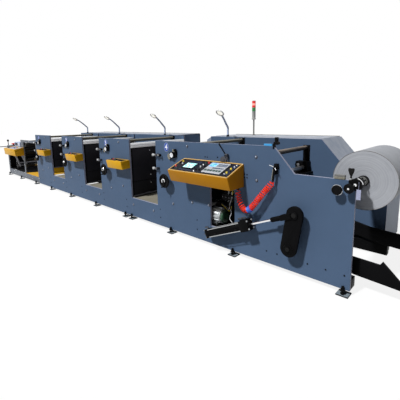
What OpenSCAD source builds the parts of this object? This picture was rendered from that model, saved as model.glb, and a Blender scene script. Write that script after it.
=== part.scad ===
// Four-unit web printing press: walls, printing units, unwind end and rewind end.
// Millimetres, +Z up, +X towards the unwind end, +Y away from the operator.

/* [Walls] */
// Height of the side walls above the floor
wall_h = 1460; // [1380:5:1900]
// Thickness of a side wall plate
wall_t = 30; // [20:1:40]
// Clear width between the two side walls
inner_w = 1312; // [1280:2:1800]
// Clearance from the floor to the wall's lower edge
floor_gap = 60; // [50:1:90]
// Height of the window sills above the floor
sill_h = 400; // [340:5:420]
// Width of one printing tower
tower_w = 1075; // [1060:5:1400]
// Distance from one printing tower to the next
unit_pitch = 1830; // [1760:5:2300]
// Length of the wall from the last tower's left edge to the unwind end
unwind_len = 2986; // [2960:2:3600]
// Height of the low wall at the unwind end
step_h = 1171; // [1150:1:1250]
// Length of the low wall at the unwind end
step_len = 615; // [600:1:800]
// Horizontal run of the slope down to the low wall
slope_run = 255; // [150:5:300]
// Depth of the gear housings behind the rear wall
housing_d = 768; // [600:2:1000]
// How far the units' gear housing stops short of the split
housing_gap = 290; // [200:5:320]
// How far past the split the unwind gear housing starts
housing_start = 625; // [400:5:700]

/* [Printing units] */
// Diameter of the impression cylinder
impression_d = 360; // [280:5:380]
// Diameter of the plate cylinder
plate_d = 240; // [180:5:250]
// Diameter of the inking roller
anilox_d = 150; // [120:5:170]
// Running gap between neighbouring cylinders
nip_gap = 3; // [1:1:6]
// Diameter of the web guide rollers
guide_d = 70; // [50:1:90]
// Diameter of the adjusting handwheels
handwheel_d = 220; // [160:5:240]
// Diameter of the handwheel shafts
handwheel_shaft_d = 24; // [16:1:34]

/* [Unwind] */
// Diameter of the paper roll
roll_d = 590; // [300:5:620]
// Width of the paper roll
roll_w = 760; // [400:5:800]
// Diameter of the air shaft
air_shaft_d = 76; // [60:1:90]
// Diameter of the air shaft's journals
journal_d = 40; // [30:1:50]
// Diameter of the cross shaft that carries the lift arms
lift_shaft_d = 60; // [40:1:80]
// Length of the crank lever between its two pins
lever_len = 396; // [380:1:400]
// Bore of the lift cylinder
cylinder_bore = 98; // [80:1:102]

/* [Controls] */
// Width of the operator console
console_w = 1052; // [900:2:1060]
// Depth of the operator console
console_d = 330; // [250:2:360]
// Width of a tower's control box
tower_box_w = 500; // [300:5:520]
// Depth of a tower's control box
tower_box_d = 190; // [120:5:220]
// Outer diameter of the coiled air hose
hose_d = 76; // [40:1:80]

/* [Rewind] */
// Length of the rewind frame
rewind_len = 2950; // [2800:5:3300]
// Height of the rewind frame beside the first tower
rewind_h = 1280; // [1240:5:1300]
// Height of the rewind frame at its free end
rewind_low_h = 1050; // [1000:5:1100]

/* [Hidden] */

// Radial clearance of a shaft that turns in its hole
run_fit = 0.05;
// Gap beside a curved face that seats in another piece
seat_gap = 0.3;

// Wall faces along Y and tower places along X
front_in = wall_t;
rear_in = wall_t + inner_w;
rear_out = rear_in + wall_t;
housing_back = rear_out + housing_d;
function tower_x(i) = i * unit_pitch;
module_split = tower_x(2) + tower_w;
unwind_housing_x = module_split + housing_start;
end_x = tower_x(3) + unwind_len;
step_x = end_x - step_len;
slope_x = step_x - slope_run;

// Unwind shaft, lift linkage
roll_x = end_x + 8;
roll_z = step_h - 28;
roll_y = front_in + 179;
notch_w = 55;
notch_h = 86;
hub_x = end_x - 600;
hub_z = 370;
lever_angle = 81.1;
pin_x = hub_x + lever_len * cos(lever_angle);
pin_z = hub_z + lever_len * sin(lever_angle);
arm_t = 30;
arm_y = front_in + 130;
arm_reach = 1074;
cylinder_y = -114;
cylinder_x = hub_x - 1208;
cylinder_z = hub_z - 132;
cylinder_tilt = atan2(pin_z - cylinder_z, pin_x - cylinder_x);
cylinder_len = 770;
pivot_d = 24;

// Motor opening in the front wall
motor_open_x = tower_x(3) + 1160;
motor_open_w = 415;
motor_open_z = 310;
motor_open_h = 560;

// Operator side pieces
console_x = tower_x(3) + 667;
console_z = 1225;
console_drop = 130;
console_h = 285;
console_base_y = -272;
handwheel_x = 300;
handwheel_z = 855;
handwheel_y = -80;
box_z = 1092;
box_h = 148;

// Overall box, from which the origin is taken
pad_w = 120;
foot_inset = 10;
left_x = -rewind_len;
right_x = hub_x + arm_reach;
centre_x = (left_x + foot_inset - pad_w / 2 + right_x) / 2;
centre_y = (housing_back - console_d) / 2;

// Cross section in X and Z, from y0 to y0 + t
module wall_plate(points, y0, t)
  translate([0, y0 + t, 0]) rotate([90, 0, 0]) linear_extrude(t) polygon(points);

module y_rod(x, z, r, y0, y1, n = 48)
  translate([x, y1, z]) rotate([90, 0, 0]) cylinder(r = r, h = y1 - y0, $fn = n);

module x_rod(y, z, r, x0, x1, n = 48)
  translate([x0, y, z]) rotate([0, 90, 0]) cylinder(r = r, h = x1 - x0, $fn = n);

module z_rod(x, y, r, z0, z1, n = 32)
  translate([x, y, z0]) cylinder(r = r, h = z1 - z0, $fn = n);

module box(low, high) translate(low) cube(high - low);

// Outline of the wall over units 1 to 3, towers and sills
function units_outline() = concat(
  [[0, floor_gap], [module_split, floor_gap], [module_split, wall_h], [tower_x(2), wall_h]],
  [[tower_x(2), sill_h], [tower_x(1) + tower_w, sill_h]],
  [[tower_x(1) + tower_w, wall_h], [tower_x(1), wall_h]],
  [[tower_x(1), sill_h], [tower_w, sill_h], [tower_w, wall_h], [0, wall_h]]);

// Outline of the wall over unit 4 and the unwind end
function unwind_outline(x0, z0) =
  [[x0, floor_gap], [end_x, floor_gap], [end_x, step_h - notch_h],
   [end_x - notch_w, step_h - notch_h], [end_x - notch_w, step_h], [step_x, step_h],
   [slope_x, wall_h], [tower_x(3), wall_h], [tower_x(3), z0], [x0, z0]];

module handwheel_bore(i)
  y_rod(tower_x(i) + handwheel_x, handwheel_z, handwheel_shaft_d / 2 + run_fit,
    -1, front_in + 1);

module front_wall_units() color("slategray") difference() {
  wall_plate(units_outline(), 0, wall_t);
  for (i = [0:2]) handwheel_bore(i);
}

module front_wall_unwind() color("slategray") difference() {
  wall_plate(unwind_outline(module_split, sill_h), 0, wall_t);
  handwheel_bore(3);
  y_rod(hub_x, hub_z, lift_shaft_d / 2 + run_fit, -1, front_in + 1);
  box([motor_open_x, -1, motor_open_z],
    [motor_open_x + motor_open_w, front_in + 1, motor_open_z + motor_open_h]);
}

module rear_wall_units() color("slategray") wall_plate(units_outline(), rear_in, wall_t);

module rear_wall_unwind() color("slategray") difference() {
  wall_plate(unwind_outline(module_split, sill_h), rear_in, wall_t);
  y_rod(hub_x, hub_z, lift_shaft_d / 2 + run_fit, rear_in - 1, rear_out + 1);
}

// The closed casings behind the rear wall
module gear_housing_units() color("lightsteelblue")
  box([0, rear_out, floor_gap], [module_split - housing_gap, housing_back, wall_h]);

module gear_housing_unwind() color("lightsteelblue") difference() {
  wall_plate([[unwind_housing_x, floor_gap], [end_x, floor_gap], [end_x, step_h - notch_h],
    [end_x - notch_w, step_h - notch_h], [end_x - notch_w, step_h], [step_x, step_h],
    [slope_x, wall_h], [unwind_housing_x + 130, wall_h], [unwind_housing_x, wall_h - 70]],
    rear_out, housing_d);
  y_rod(hub_x, hub_z, lift_shaft_d / 2 + 5, rear_out - 1, rear_out + 60);
}

// A levelling foot: a pad, a screw that stands up outside the wall, and a lug under the wall
pad_t = 15;
lug_t = 12;
foot_screw_r = 13;
module levelling_foot(x, screw_y, screw_top) {
  pad_y = wall_t / 2;
  box([x - pad_w / 2, pad_y - pad_w / 2, 0], [x + pad_w / 2, pad_y + pad_w / 2, pad_t]);
  z_rod(x, screw_y, foot_screw_r, pad_t, screw_top);
  box([x - 30, screw_y - 20, floor_gap - lug_t], [x + 30, wall_t, floor_gap]);
}

foot_places = [left_x + foot_inset, left_x + 1300, -290, 910, tower_x(1) + 300,
  tower_x(1) + 1540, module_split - 225, module_split - 17, tower_x(3) + 320,
  tower_x(3) + 1550, end_x - 60];

module front_feet() color("dimgray") for (x = foot_places) levelling_foot(x, -15, 100);

module rear_feet() color("dimgray") {
  for (x = foot_places) translate([0, rear_in, 0]) levelling_foot(x, wall_t / 2, floor_gap);
  for (x = [200, module_split - housing_gap - 200, unwind_housing_x + 200, end_x - 200])
    translate([0, housing_back - 100, 0]) levelling_foot(x, wall_t / 2, floor_gap);
}

// Box section rails inside the foot of both walls, and the ties between them
rail_w = 120;
rail_z = 60;
rail_h = 105;
skirt_w = 90;
skirt_z = 20;
rear_rail_reach = 60;
rail_spans = [[left_x, module_split - 1], [module_split, end_x]];
module base_rails() color("gray") for (span = rail_spans) {
  box([span[0], front_in, rail_z], [span[1], front_in + rail_w, rail_z + rail_h]);
  rear_end = span[1] == end_x ? end_x + rear_rail_reach : span[1];
  box([span[0], rear_in - rail_w, rail_z], [rear_end, rear_in, rail_z + rail_h]);
  box([span[0], rear_in - rail_w, skirt_z], [rear_end, rear_in - rail_w + skirt_w, rail_z + 1]);
}

tie_w = 80;
module base_ties() color("gray")
  for (span = rail_spans, x = [span[0] + 200, (span[0] + span[1]) / 2, span[1] - 900])
    box([x, front_in + rail_w, rail_z], [x + tie_w, rear_in - rail_w, rail_z + rail_h]);

// Cylinder places inside a tower
impression_x = 560;
impression_z = 1130;
plate_x = impression_x - (impression_d + plate_d) / 2 - nip_gap;
anilox_angle = 49;
anilox_x = plate_x - ((plate_d + anilox_d) / 2 + nip_gap) * cos(anilox_angle);
anilox_z = impression_z - ((plate_d + anilox_d) / 2 + nip_gap) * sin(anilox_angle);
end_gap = 60;

// A cylinder body with a journal to each wall
module print_roller(x, z, d, shaft_d) {
  y_rod(x, z, d / 2, front_in + end_gap, rear_in - end_gap, 96);
  y_rod(x, z, shaft_d / 2, front_in, rear_in);
}

module impression_cylinders() color("silver")
  for (i = [0:3]) print_roller(tower_x(i) + impression_x, impression_z, impression_d, 70);

module plate_cylinders() color("firebrick")
  for (i = [0:3]) print_roller(tower_x(i) + plate_x, impression_z, plate_d, 60);

module anilox_rollers() color("gainsboro")
  for (i = [0:3]) print_roller(tower_x(i) + anilox_x, anilox_z, anilox_d, 50);

cover_t = 20;
cover_top = 1300;
module ink_covers() color("black")
  for (i = [0:2])
    box([tower_x(i) + tower_w - 5 - cover_t, front_in, i == 0 ? 600 : sill_h + 10],
      [tower_x(i) + tower_w - 5, rear_in, cover_top]);

beam_w = 70;
beam_h = 85;
module cover_beams() color("white")
  for (i = [0:2])
    box([tower_x(i) + tower_w - beam_w, front_in, cover_top],
      [tower_x(i) + tower_w, rear_in, cover_top + beam_h]);

pan_t = 12;
module drip_pans() color("wheat")
  for (i = [0:2])
    box([tower_x(i) + tower_w - 5, front_in, sill_h - 10 - pan_t],
      [tower_x(i + 1), rear_in, sill_h - 10]);

module guide_roller(x, z, d = guide_d) {
  y_rod(x, z, d / 2, front_in + 12, rear_in - 12);
  y_rod(x, z, 15, front_in, rear_in, 32);
}

module guide_rollers() color("silver") {
  for (i = [0:3]) {
    guide_roller(tower_x(i) + 385, 490);
    guide_roller(tower_x(i) + 810, 585);
    if (i > 0) guide_roller(tower_x(i) - 710, 280);
    if (i > 0) guide_roller(tower_x(i) - 130, 280);
  }
  guide_roller(tower_x(3) + 1100, 603);
  guide_roller(slope_x - 225, wall_h - 130, 60);
  guide_roller(slope_x - 217, wall_h - 415, 60);
}

// The roller and the bar beside it at the top of each tower
top_roller_x = 725;
top_roller_z = wall_h - 48;
module top_rollers() color("darkkhaki")
  for (i = [0:3]) {
    guide_roller(tower_x(i) + top_roller_x, top_roller_z, 64);
    box([tower_x(i) + top_roller_x - 90, front_in, top_roller_z - 20],
      [tower_x(i) + top_roller_x - 60, rear_in, top_roller_z + 20]);
  }

// Bearing brackets on the rear wall, beside the roller ends
bracket_t = 12;
module roller_bracket(x0, x1, z0, z1, holes) difference() {
  box([x0, rear_in - bracket_t, z0], [x1, rear_in, z1]);
  for (h = holes) y_rod(h[0], h[1], 15 + seat_gap, rear_in - bracket_t - 1, rear_in + 1);
}

module roller_brackets() color("dimgray") {
  for (i = [0:3])
    roller_bracket(tower_x(i) + top_roller_x - 50, tower_x(i) + top_roller_x + 60,
      top_roller_z - 150, top_roller_z + 40, [[tower_x(i) + top_roller_x, top_roller_z]]);
  roller_bracket(slope_x - 265, slope_x - 165, wall_h - 460, wall_h - 90,
    [[slope_x - 225, wall_h - 130], [slope_x - 217, wall_h - 415]]);
}

// A box that hangs on the front wall with a sloping top and a front that leans back
module sloped_box(x, w, points)
  translate([x, 0, 0]) rotate([90, 0, 90]) linear_extrude(w) polygon(points);

module control_boxes() color("gold")
  for (i = [0:2])
    sloped_box(tower_x(i) + tower_w - tower_box_w, tower_box_w,
      [[0, box_z], [-tower_box_d, box_z - 15], [-tower_box_d + 30, box_z - box_h - 12],
       [0, box_z - box_h]]);

module console_body() color("darkgoldenrod")
  sloped_box(console_x, console_w,
    [[0, console_z], [-console_d, console_z - console_drop],
     [console_base_y, console_z - console_h - 4], [0, console_z - console_h]]);

// The dark instrument panel on the console's sloping top
panel_t = 6;
panel_rim = 28;
panel_slope = atan2(console_drop, console_d);
panel_len = norm([console_drop, console_d]);
module console_panel() color("darkslategray")
  translate([console_x + panel_rim, 0, console_z])
    rotate([180 + panel_slope, 0, 0]) mirror([0, 0, 1]) translate([0, panel_rim, 0.1])
      cube([console_w - 2 * panel_rim, panel_len - 2 * panel_rim, panel_t]);

// A rim, four spokes, a hub and a shaft that runs in the wall
module handwheel(i) color("black") {
  translate([tower_x(i) + handwheel_x, 0, handwheel_z]) rotate([90, 0, 0]) {
    translate([0, 0, -handwheel_y + 15]) rotate_extrude($fn = 64)
      translate([handwheel_d / 2 - 13, 0]) circle(r = 13, $fn = 24);
    translate([0, 0, -handwheel_y]) cylinder(r = 34, h = 34, $fn = 48);
    for (a = [0:90:270]) rotate([0, 0, a])
      translate([20, -9, -handwheel_y + 8]) cube([handwheel_d / 2 - 30, 18, 14]);
    translate([0, 0, -front_in - 8]) cylinder(r = handwheel_shaft_d / 2, h = front_in + 9 - handwheel_y, $fn = 48);
    translate([0, 22 - handwheel_d / 2, -handwheel_y + 15]) cylinder(r = 11, h = 62, $fn = 32);
  }
}

// Register dials, a ring around a scale, with a short lever
dial_places = [320, 320, 320, 430];
dial_z = 1257;
module pressure_dials() color("black")
  for (i = [0:3]) {
    x = tower_x(i) + dial_places[i];
    y_rod(x, dial_z, 50, -52, -16);
    y_rod(x, dial_z, 20, -16, 0);
    translate([x, -34, dial_z]) rotate([0, 40, 0]) box([40, -9, -9], [110, 9, 9]);
    translate([x, -34, dial_z]) rotate([0, 130, 0]) box([40, -9, -9], [100, 9, 9]);
  }

// Clamping screws that hold the inking roller at the window side of a tower
module clamp_screws() color("silver")
  for (i = [0:3]) {
    x = tower_x(i);
    for (place = [[1236, 1], [1020, 0]]) {
      z = place[0];
      box([x + 48, -62, z - 20], [x + 90, 0, z + 20]);
      x_rod(-40, z, 21, x - 28, x + 20);
      x_rod(-40, z, 9, x + 20, x + 48 + place[1] * 92);
      if (place[1] == 1) x_rod(-40, z, 24, x + 140, x + 170);
    }
  }

// The main drive motor on its shelf behind the opening
motor_r = 112;
motor_y = 160;
motor_z = 440;
motor_end_x = motor_open_x + 125;
module drive_motor() color("silver") {
  x_rod(motor_y, motor_z, motor_r, motor_end_x - 330, motor_end_x, 64);
  x_rod(motor_y, motor_z, 16, motor_end_x - 400, motor_end_x - 330);
  box([motor_end_x - 260, motor_y - 70, motor_z - motor_r - 15],
    [motor_end_x - 90, motor_y + 70, motor_z - motor_r + 20]);
  box([motor_end_x - 420, front_in, motor_z - motor_r - 27],
    [motor_end_x + 60, motor_y + 140, motor_z - motor_r - 15]);
}

// Everything on the cylinder's own axis, from its rear pivot
module on_cylinder() translate([cylinder_x, cylinder_y, cylinder_z])
  rotate([0, -cylinder_tilt, 0]) children();

cap_w = 116;
module lift_cylinder() color("black") on_cylinder() difference() {
  union() {
    translate([-18, -14, -18]) cube([60, 28, 36]);
    translate([40, -cap_w / 2, -cap_w / 2]) cube([50, cap_w, cap_w]);
    translate([80, 0, 0]) rotate([0, 90, 0])
      cylinder(r = cylinder_bore / 2 + 4, h = cylinder_len - 190, $fn = 64);
    translate([cylinder_len - 130, -cap_w / 2, -cap_w / 2 - 10])
      cube([130, cap_w, cap_w + 20]);
    for (y = [-1, 1], z = [-1, 1])
      translate([50, y * (cap_w / 2 - 10), z * (cap_w / 2 - 10)]) rotate([0, 90, 0])
        cylinder(r = 6, h = cylinder_len - 100, $fn = 24);
  }
  translate([0, 40, 0]) rotate([90, 0, 0])
    cylinder(r = pivot_d / 2 + run_fit, h = 80, $fn = 48);
  translate([150, 0, 0]) rotate([0, 90, 0])
    cylinder(r = cylinder_bore / 2, h = cylinder_len - 280, $fn = 64);
  translate([140, 0, 0]) rotate([0, 90, 0])
    cylinder(r = 12.5 + run_fit, h = cylinder_len, $fn = 48);
}

rod_len = norm([pin_x - cylinder_x, pin_z - cylinder_z]);
piston_x = 560;
fork_t = 12;
// The piston, its rod and the fork that runs round the lever
module lift_rod() color("silver") on_cylinder() {
  translate([piston_x, 0, 0]) rotate([0, 90, 0])
    cylinder(r = 12.5, h = rod_len - piston_x - 160, $fn = 48);
  translate([piston_x - 60, 0, 0]) rotate([0, 90, 0])
    cylinder(r = cylinder_bore / 2 - 0.5, h = 60, $fn = 64);
  translate([rod_len - 300, 0, 0]) rotate([0, 90, 0]) cylinder(r = 28, h = 142, $fn = 48);
  translate([rod_len - 170, -36, -30]) cube([20, 72, 60]);
  for (y = [-36, 24]) {
    translate([rod_len - 155, y, -30]) cube([155, fork_t, 60]);
    translate([rod_len, y + fork_t, 0]) rotate([90, 0, 0]) cylinder(r = 42, h = fork_t, $fn = 64);
  }
}

// The pin bracket of the cylinder's rear pivot
module cylinder_pivot() color("dimgray") {
  y_rod(cylinder_x, cylinder_z, pivot_d / 2, cylinder_y - 22, 0);
  y_rod(cylinder_x, cylinder_z, 34, cylinder_y + 20, 0);
}

lever_r = 92;
lever_y0 = -132;
lever_t = 36;
// A straight bar with round ends, between two points in X and Z
module round_bar(x0, z0, x1, z1, r, y0, t) hull() {
  y_rod(x0, z0, r, y0, y0 + t, 32);
  y_rod(x1, z1, r, y0, y0 + t, 32);
}

module lift_lever() color("black") difference() {
  round_bar(hub_x, hub_z, pin_x, pin_z, lever_r, lever_y0, lever_t);
  y_rod(hub_x, hub_z, lift_shaft_d / 2, lever_y0 - 1, lever_y0 + lever_t + 1);
}

module lift_shaft() color("gray") {
  y_rod(hub_x, hub_z, lift_shaft_d / 2, lever_y0 - 14, rear_out + 14);
  y_rod(hub_x, hub_z, 55, front_in + 6, arm_y);
}

// One arm with a flat top, a hooked stop and a pointed nose
module lift_arm(y0) difference() {
  union() {
    wall_plate([[hub_x, hub_z + 88], [hub_x + 480, hub_z - 12], [hub_x + 806, hub_z - 28],
      [hub_x + 830, hub_z + 11], [hub_x + arm_reach, hub_z - 230],
      [hub_x + 590, hub_z - 200], [hub_x, hub_z - 88]], y0, arm_t);
    y_rod(hub_x, hub_z, 90, y0, y0 + arm_t, 64);
  }
  y_rod(hub_x, hub_z, lift_shaft_d / 2, y0 - 1, y0 + arm_t + 1);
}

module lift_arms() color("black") {
  lift_arm(arm_y);
  lift_arm(rear_in - 130 - arm_t);
}

module paper_roll() color("whitesmoke") difference() {
  y_rod(roll_x, roll_z, roll_d / 2, roll_y, roll_y + roll_w, 160);
  y_rod(roll_x, roll_z, air_shaft_d / 2 + seat_gap, roll_y - 1, roll_y + roll_w + 1, 64);
}

module air_shaft() color("dimgray") {
  y_rod(roll_x, roll_z, air_shaft_d / 2, front_in + 52, rear_in - 52, 64);
  y_rod(roll_x, roll_z, journal_d / 2, -56, rear_out + 30);
  y_rod(roll_x, roll_z, 52, roll_y - 40, roll_y - 1, 64);
}

// Safety chucks in the notches at the wall ends
module chuck(y0, y1) difference() {
  union() {
    box([end_x - notch_w, y0 + 10, step_h - notch_h], [roll_x + 35, y1, roll_z + 35]);
    y_rod(roll_x, roll_z, 56, y0, y1, 64);
  }
  y_rod(roll_x, roll_z, journal_d / 2 + run_fit, y0 - 1, y1 + 1);
}

module shaft_chucks() color("dimgray") difference() {
  union() {
    chuck(-50, 42);
    chuck(rear_in - 12, rear_out + 20);
  }
  box([end_x - 300, -60, floor_gap], [end_x - notch_w, front_in, step_h]);
  box([end_x - 300, -1, floor_gap], [end_x, front_in, step_h - notch_h]);
  box([end_x - 300, rear_in, floor_gap], [end_x, housing_back, step_h - notch_h]);
  box([end_x - 300, rear_in, floor_gap], [end_x - notch_w, housing_back, step_h]);
}

// Two tension knobs, the bar on the wall's edge and the clamping screw over the chuck
knob_1 = [end_x - 143, step_h - 92];
knob_2 = [end_x - 36, step_h - 63];
module tension_knobs() color("black") {
  y_rod(knob_1[0], knob_1[1], 56, -96, -56, 64);
  y_rod(knob_1[0], knob_1[1], 26, -56, 0);
  y_rod(knob_2[0], knob_2[1], 46, -100, -64, 64);
  difference() {
    y_rod(knob_2[0], knob_2[1], 16, -64, -40);
    y_rod(roll_x, roll_z, 57, -120, 0);
  }
  box([end_x - 200, 0, step_h], [end_x - 95, front_in, step_h + 28]);
  z_rod(end_x - notch_w - 18, front_in / 2, 9, step_h, step_h + 80);
  box([end_x - notch_w - 48, front_in / 2 - 6, step_h + 45],
    [end_x - notch_w + 12, front_in / 2 + 6, step_h + 105]);
}

// A pole with a grey base and two light segments
tower_light_x = tower_x(3) + 600;
tower_light_y = rear_out + 520;
module signal_tower() color("lightgray") {
  z_rod(tower_light_x, tower_light_y, 40, wall_h, wall_h + 12);
  z_rod(tower_light_x, tower_light_y, 14, wall_h + 12, wall_h + 340);
  z_rod(tower_light_x, tower_light_y, 35, wall_h + 340, wall_h + 650, 48);
}

// Hand-chosen route of the coiled air hose, from the console to the blow gun, from tower 4
hose_route = [[1690, -80, 912], [1690, -80, 880], [1700, -86, 845], [1714, -92, 808],
  [1732, -98, 772], [1755, -102, 738], [1783, -105, 706], [1818, -106, 688],
  [1852, -105, 696], [1884, -102, 722], [1916, -99, 758], [1950, -95, 802],
  [1985, -90, 850], [2020, -84, 898], [2056, -76, 946], [2092, -66, 992],
  [2122, -58, 1030], [2140, -54, 1052], [2146, -54, 1066]];
ring_sides = 10;
function unit(v) = v / norm(v);
function route_dir(p, i) = unit(p[min(i + 1, len(p) - 1)] - p[max(i - 1, 0)]);
function ring(c, d, r, side) = let (a = unit(cross(side, d)), b = cross(d, a))
  [for (k = [0:ring_sides - 1]) c + r * (cos(360 * k / ring_sides) * a
    + sin(360 * k / ring_sides) * b)];
// A tube along points p, where side is a direction that the route never takes
module tube(p, r, side) {
  last = len(p) - 1;
  points = [for (i = [0:last]) each ring(p[i], route_dir(p, i), r, side)];
  sides = [for (i = [0:last - 1], k = [0:ring_sides - 1]) let (n = (k + 1) % ring_sides)
    [i * ring_sides + k, (i + 1) * ring_sides + k, (i + 1) * ring_sides + n,
     i * ring_sides + n]];
  polyhedron(points, concat(sides, [[for (k = [0:ring_sides - 1]) k]],
    [[for (k = [ring_sides - 1:-1:0]) last * ring_sides + k]]));
}

module air_hose() color("orangered")
  translate([tower_x(3), 0, 0]) tube(hose_route, hose_d / 2, [0, 1, 0]);

hose_start = hose_route[0];
hose_end = hose_route[len(hose_route) - 1];
gun_x = tower_x(3) + hose_end[0];
gun_y = hose_end[1];
module blow_gun() color("silver") {
  z_rod(gun_x, gun_y, 14, hose_end[2], 1250);
  box([gun_x - 14, gun_y - 40, 1235], [gun_x + 14, gun_y + 14, 1262]);
}

module hose_fittings() color("black") {
  box([gun_x - 22, gun_y + 14, 1225], [gun_x + 22, 0, 1290]);
  z_rod(tower_x(3) + hose_start[0], hose_start[1], 20, hose_start[2], console_z - console_h - 2);
}

// Flexible lamps on the gear housing, bent forward over the towers
lamp_places = [320, 310, 380, 355];
lamp_y = rear_out + 40;
lamp_route = [[0, 0, 30], [0, 0, 100], [4, -6, 165], [30, -90, 235], [75, -200, 310],
  [120, -310, 375], [160, -400, 408], [185, -430, 415]];
module lamp(x) translate([x, lamp_y, wall_h]) {
  cylinder(r = 24, h = 32, $fn = 32);
  tube(lamp_route, 16, [1, 0, 0]);
  translate([192, -455, 420]) rotate([15, 0, 0]) cylinder(r = 62, h = 24, center = true, $fn = 48);
}

module work_lamps() color("silver") for (i = [0:3]) lamp(tower_x(i) + lamp_places[i]);

// A friction disc with its crank and pull rod
module brake_lever() color("dimgray") {
  difference() {
    y_rod(tower_x(3) + 1410, 1250, 50, -28, 0);
    box([console_x, -40, console_z - 60], [console_x + console_w, 1, console_z + 5]);
  }
  y_rod(tower_x(3) + 1475, 1318, 22, -60, 0);
  translate([tower_x(3) + 1475, -45, 1318]) rotate([0, -38, 0]) cylinder(r = 8, h = 185, $fn = 24);
}

// The rewind end: a front frame plate with two open bays, and a closed rear plate
rewind_step_x = -1400;
bay_1 = [left_x + 100, -1250];
bay_2 = [-1150, -60];
bay_z = 230;
module rewind_plate(y0) wall_plate([[left_x, floor_gap], [0, floor_gap], [0, rewind_h],
  [rewind_step_x, rewind_h], [rewind_step_x, rewind_low_h], [left_x, rewind_low_h]], y0, wall_t);

module rewind_frame() color("dimgray") {
  difference() {
    rewind_plate(0);
    box([bay_1[0], -1, bay_z], [bay_1[1], wall_t + 1, rewind_low_h - 90]);
    box([bay_2[0], -1, bay_z], [bay_2[1], wall_t + 1, rewind_h - 70]);
  }
  rewind_plate(rear_in);
}

// The dark sheet that closes the free end
module rewind_end_panel() color("black")
  box([left_x, front_in, rail_z + rail_h + 5], [left_x + 12, rear_in, rewind_low_h - 4]);

// Rollers of the rewind end, from the front plate to the rear plate
module rewind_rollers() color("silver") {
  for (p = [[-1195, 475, 80], [-1195, 655, 80], [-1195, 880, 90], [-1195, 985, 70],
            [-1195, 1150, 70], [-700, 1245, 60], [-1350, 800, 110], [left_x + 60, 760, 90]])
    guide_roller(p[0], p[1], p[2]);
  y_rod(-720, 1145, 52, -60, rear_in);
}

// Winding arms and the brake disc behind the first bay
arm_2_y = front_in + 60;
module rewind_arms() color("gray") {
  round_bar(left_x + 260, 830, left_x + 900, 380, 34, arm_2_y, 26);
  round_bar(left_x + 700, 850, left_x + 1400, 420, 30, arm_2_y + 70, 26);
  y_rod(left_x + 900, 380, 22, arm_2_y + 26, rear_in);
  y_rod(left_x + 1400, 420, 22, arm_2_y + 96, rear_in);
  y_rod(left_x + 520, 420, 150, arm_2_y + 30, arm_2_y + 60);
  y_rod(left_x + 520, 420, 40, arm_2_y + 60, rear_in);
}

// The handle of the winding shaft, the stop knob and the box on the low frame
module rewind_knobs() color("black") {
  y_rod(left_x + 60, 1010, 13, -290, 0);
  y_rod(left_x + 60, 1010, 32, -330, -290);
  z_rod(left_x + 110, front_in / 2, 12, rewind_low_h, 1180);
  z_rod(left_x + 110, front_in / 2, 30, 1180, 1250);
  z_rod(-2200, front_in / 2, 12, rewind_low_h, 1090);
  z_rod(-2200, front_in / 2, 70, 1090, 1150);
  box([-2050, 0, rewind_low_h], [-1480, 160, 1195]);
}

rewind_console_w = 1150;
module rewind_console() color("darkgoldenrod")
  sloped_box(bay_2[0] - rewind_console_w, rewind_console_w,
    [[0, 1045], [-265, 1000], [-245, 793], [0, 793]]);

module guard_plates() color("gold") {
  box([tower_w - 5 - cover_t, front_in, 450], [tower_w - 5, rear_in, 600]);
  box([bay_2[0], 4, bay_z], [bay_2[1], rear_in, bay_z + 12]);
}

module place() translate([-centre_x, -centre_y, 0]) children();

place() front_wall_units();
place() front_wall_unwind();
place() rear_wall_units();
place() rear_wall_unwind();
place() gear_housing_units();
place() gear_housing_unwind();
place() front_feet();
place() rear_feet();
place() base_rails();
place() base_ties();
place() impression_cylinders();
place() plate_cylinders();
place() anilox_rollers();
place() ink_covers();
place() cover_beams();
place() drip_pans();
place() guide_rollers();
place() top_rollers();
place() roller_brackets();
place() control_boxes();
place() console_body();
place() console_panel();
place() handwheel(0);  // handwheel_1
place() handwheel(1);  // handwheel_2
place() handwheel(2);  // handwheel_3
place() handwheel(3);  // handwheel_4
place() pressure_dials();
place() clamp_screws();
place() drive_motor();
place() cylinder_pivot();
place() lift_cylinder();
place() lift_rod();
place() lift_lever();
place() lift_shaft();
place() lift_arms();
place() paper_roll();
place() air_shaft();
place() shaft_chucks();
place() tension_knobs();
place() work_lamps();
place() signal_tower();
place() air_hose();
place() blow_gun();
place() hose_fittings();
place() brake_lever();
place() rewind_frame();
place() rewind_rollers();
place() rewind_console();
place() guard_plates();
place() rewind_arms();
place() rewind_knobs();
place() rewind_end_panel();
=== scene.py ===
import math
import random

import bmesh
import bpy
from bpy.props import FloatProperty, FloatVectorProperty, IntProperty, PointerProperty
from mathutils import Matrix, Quaternion, Vector


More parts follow.
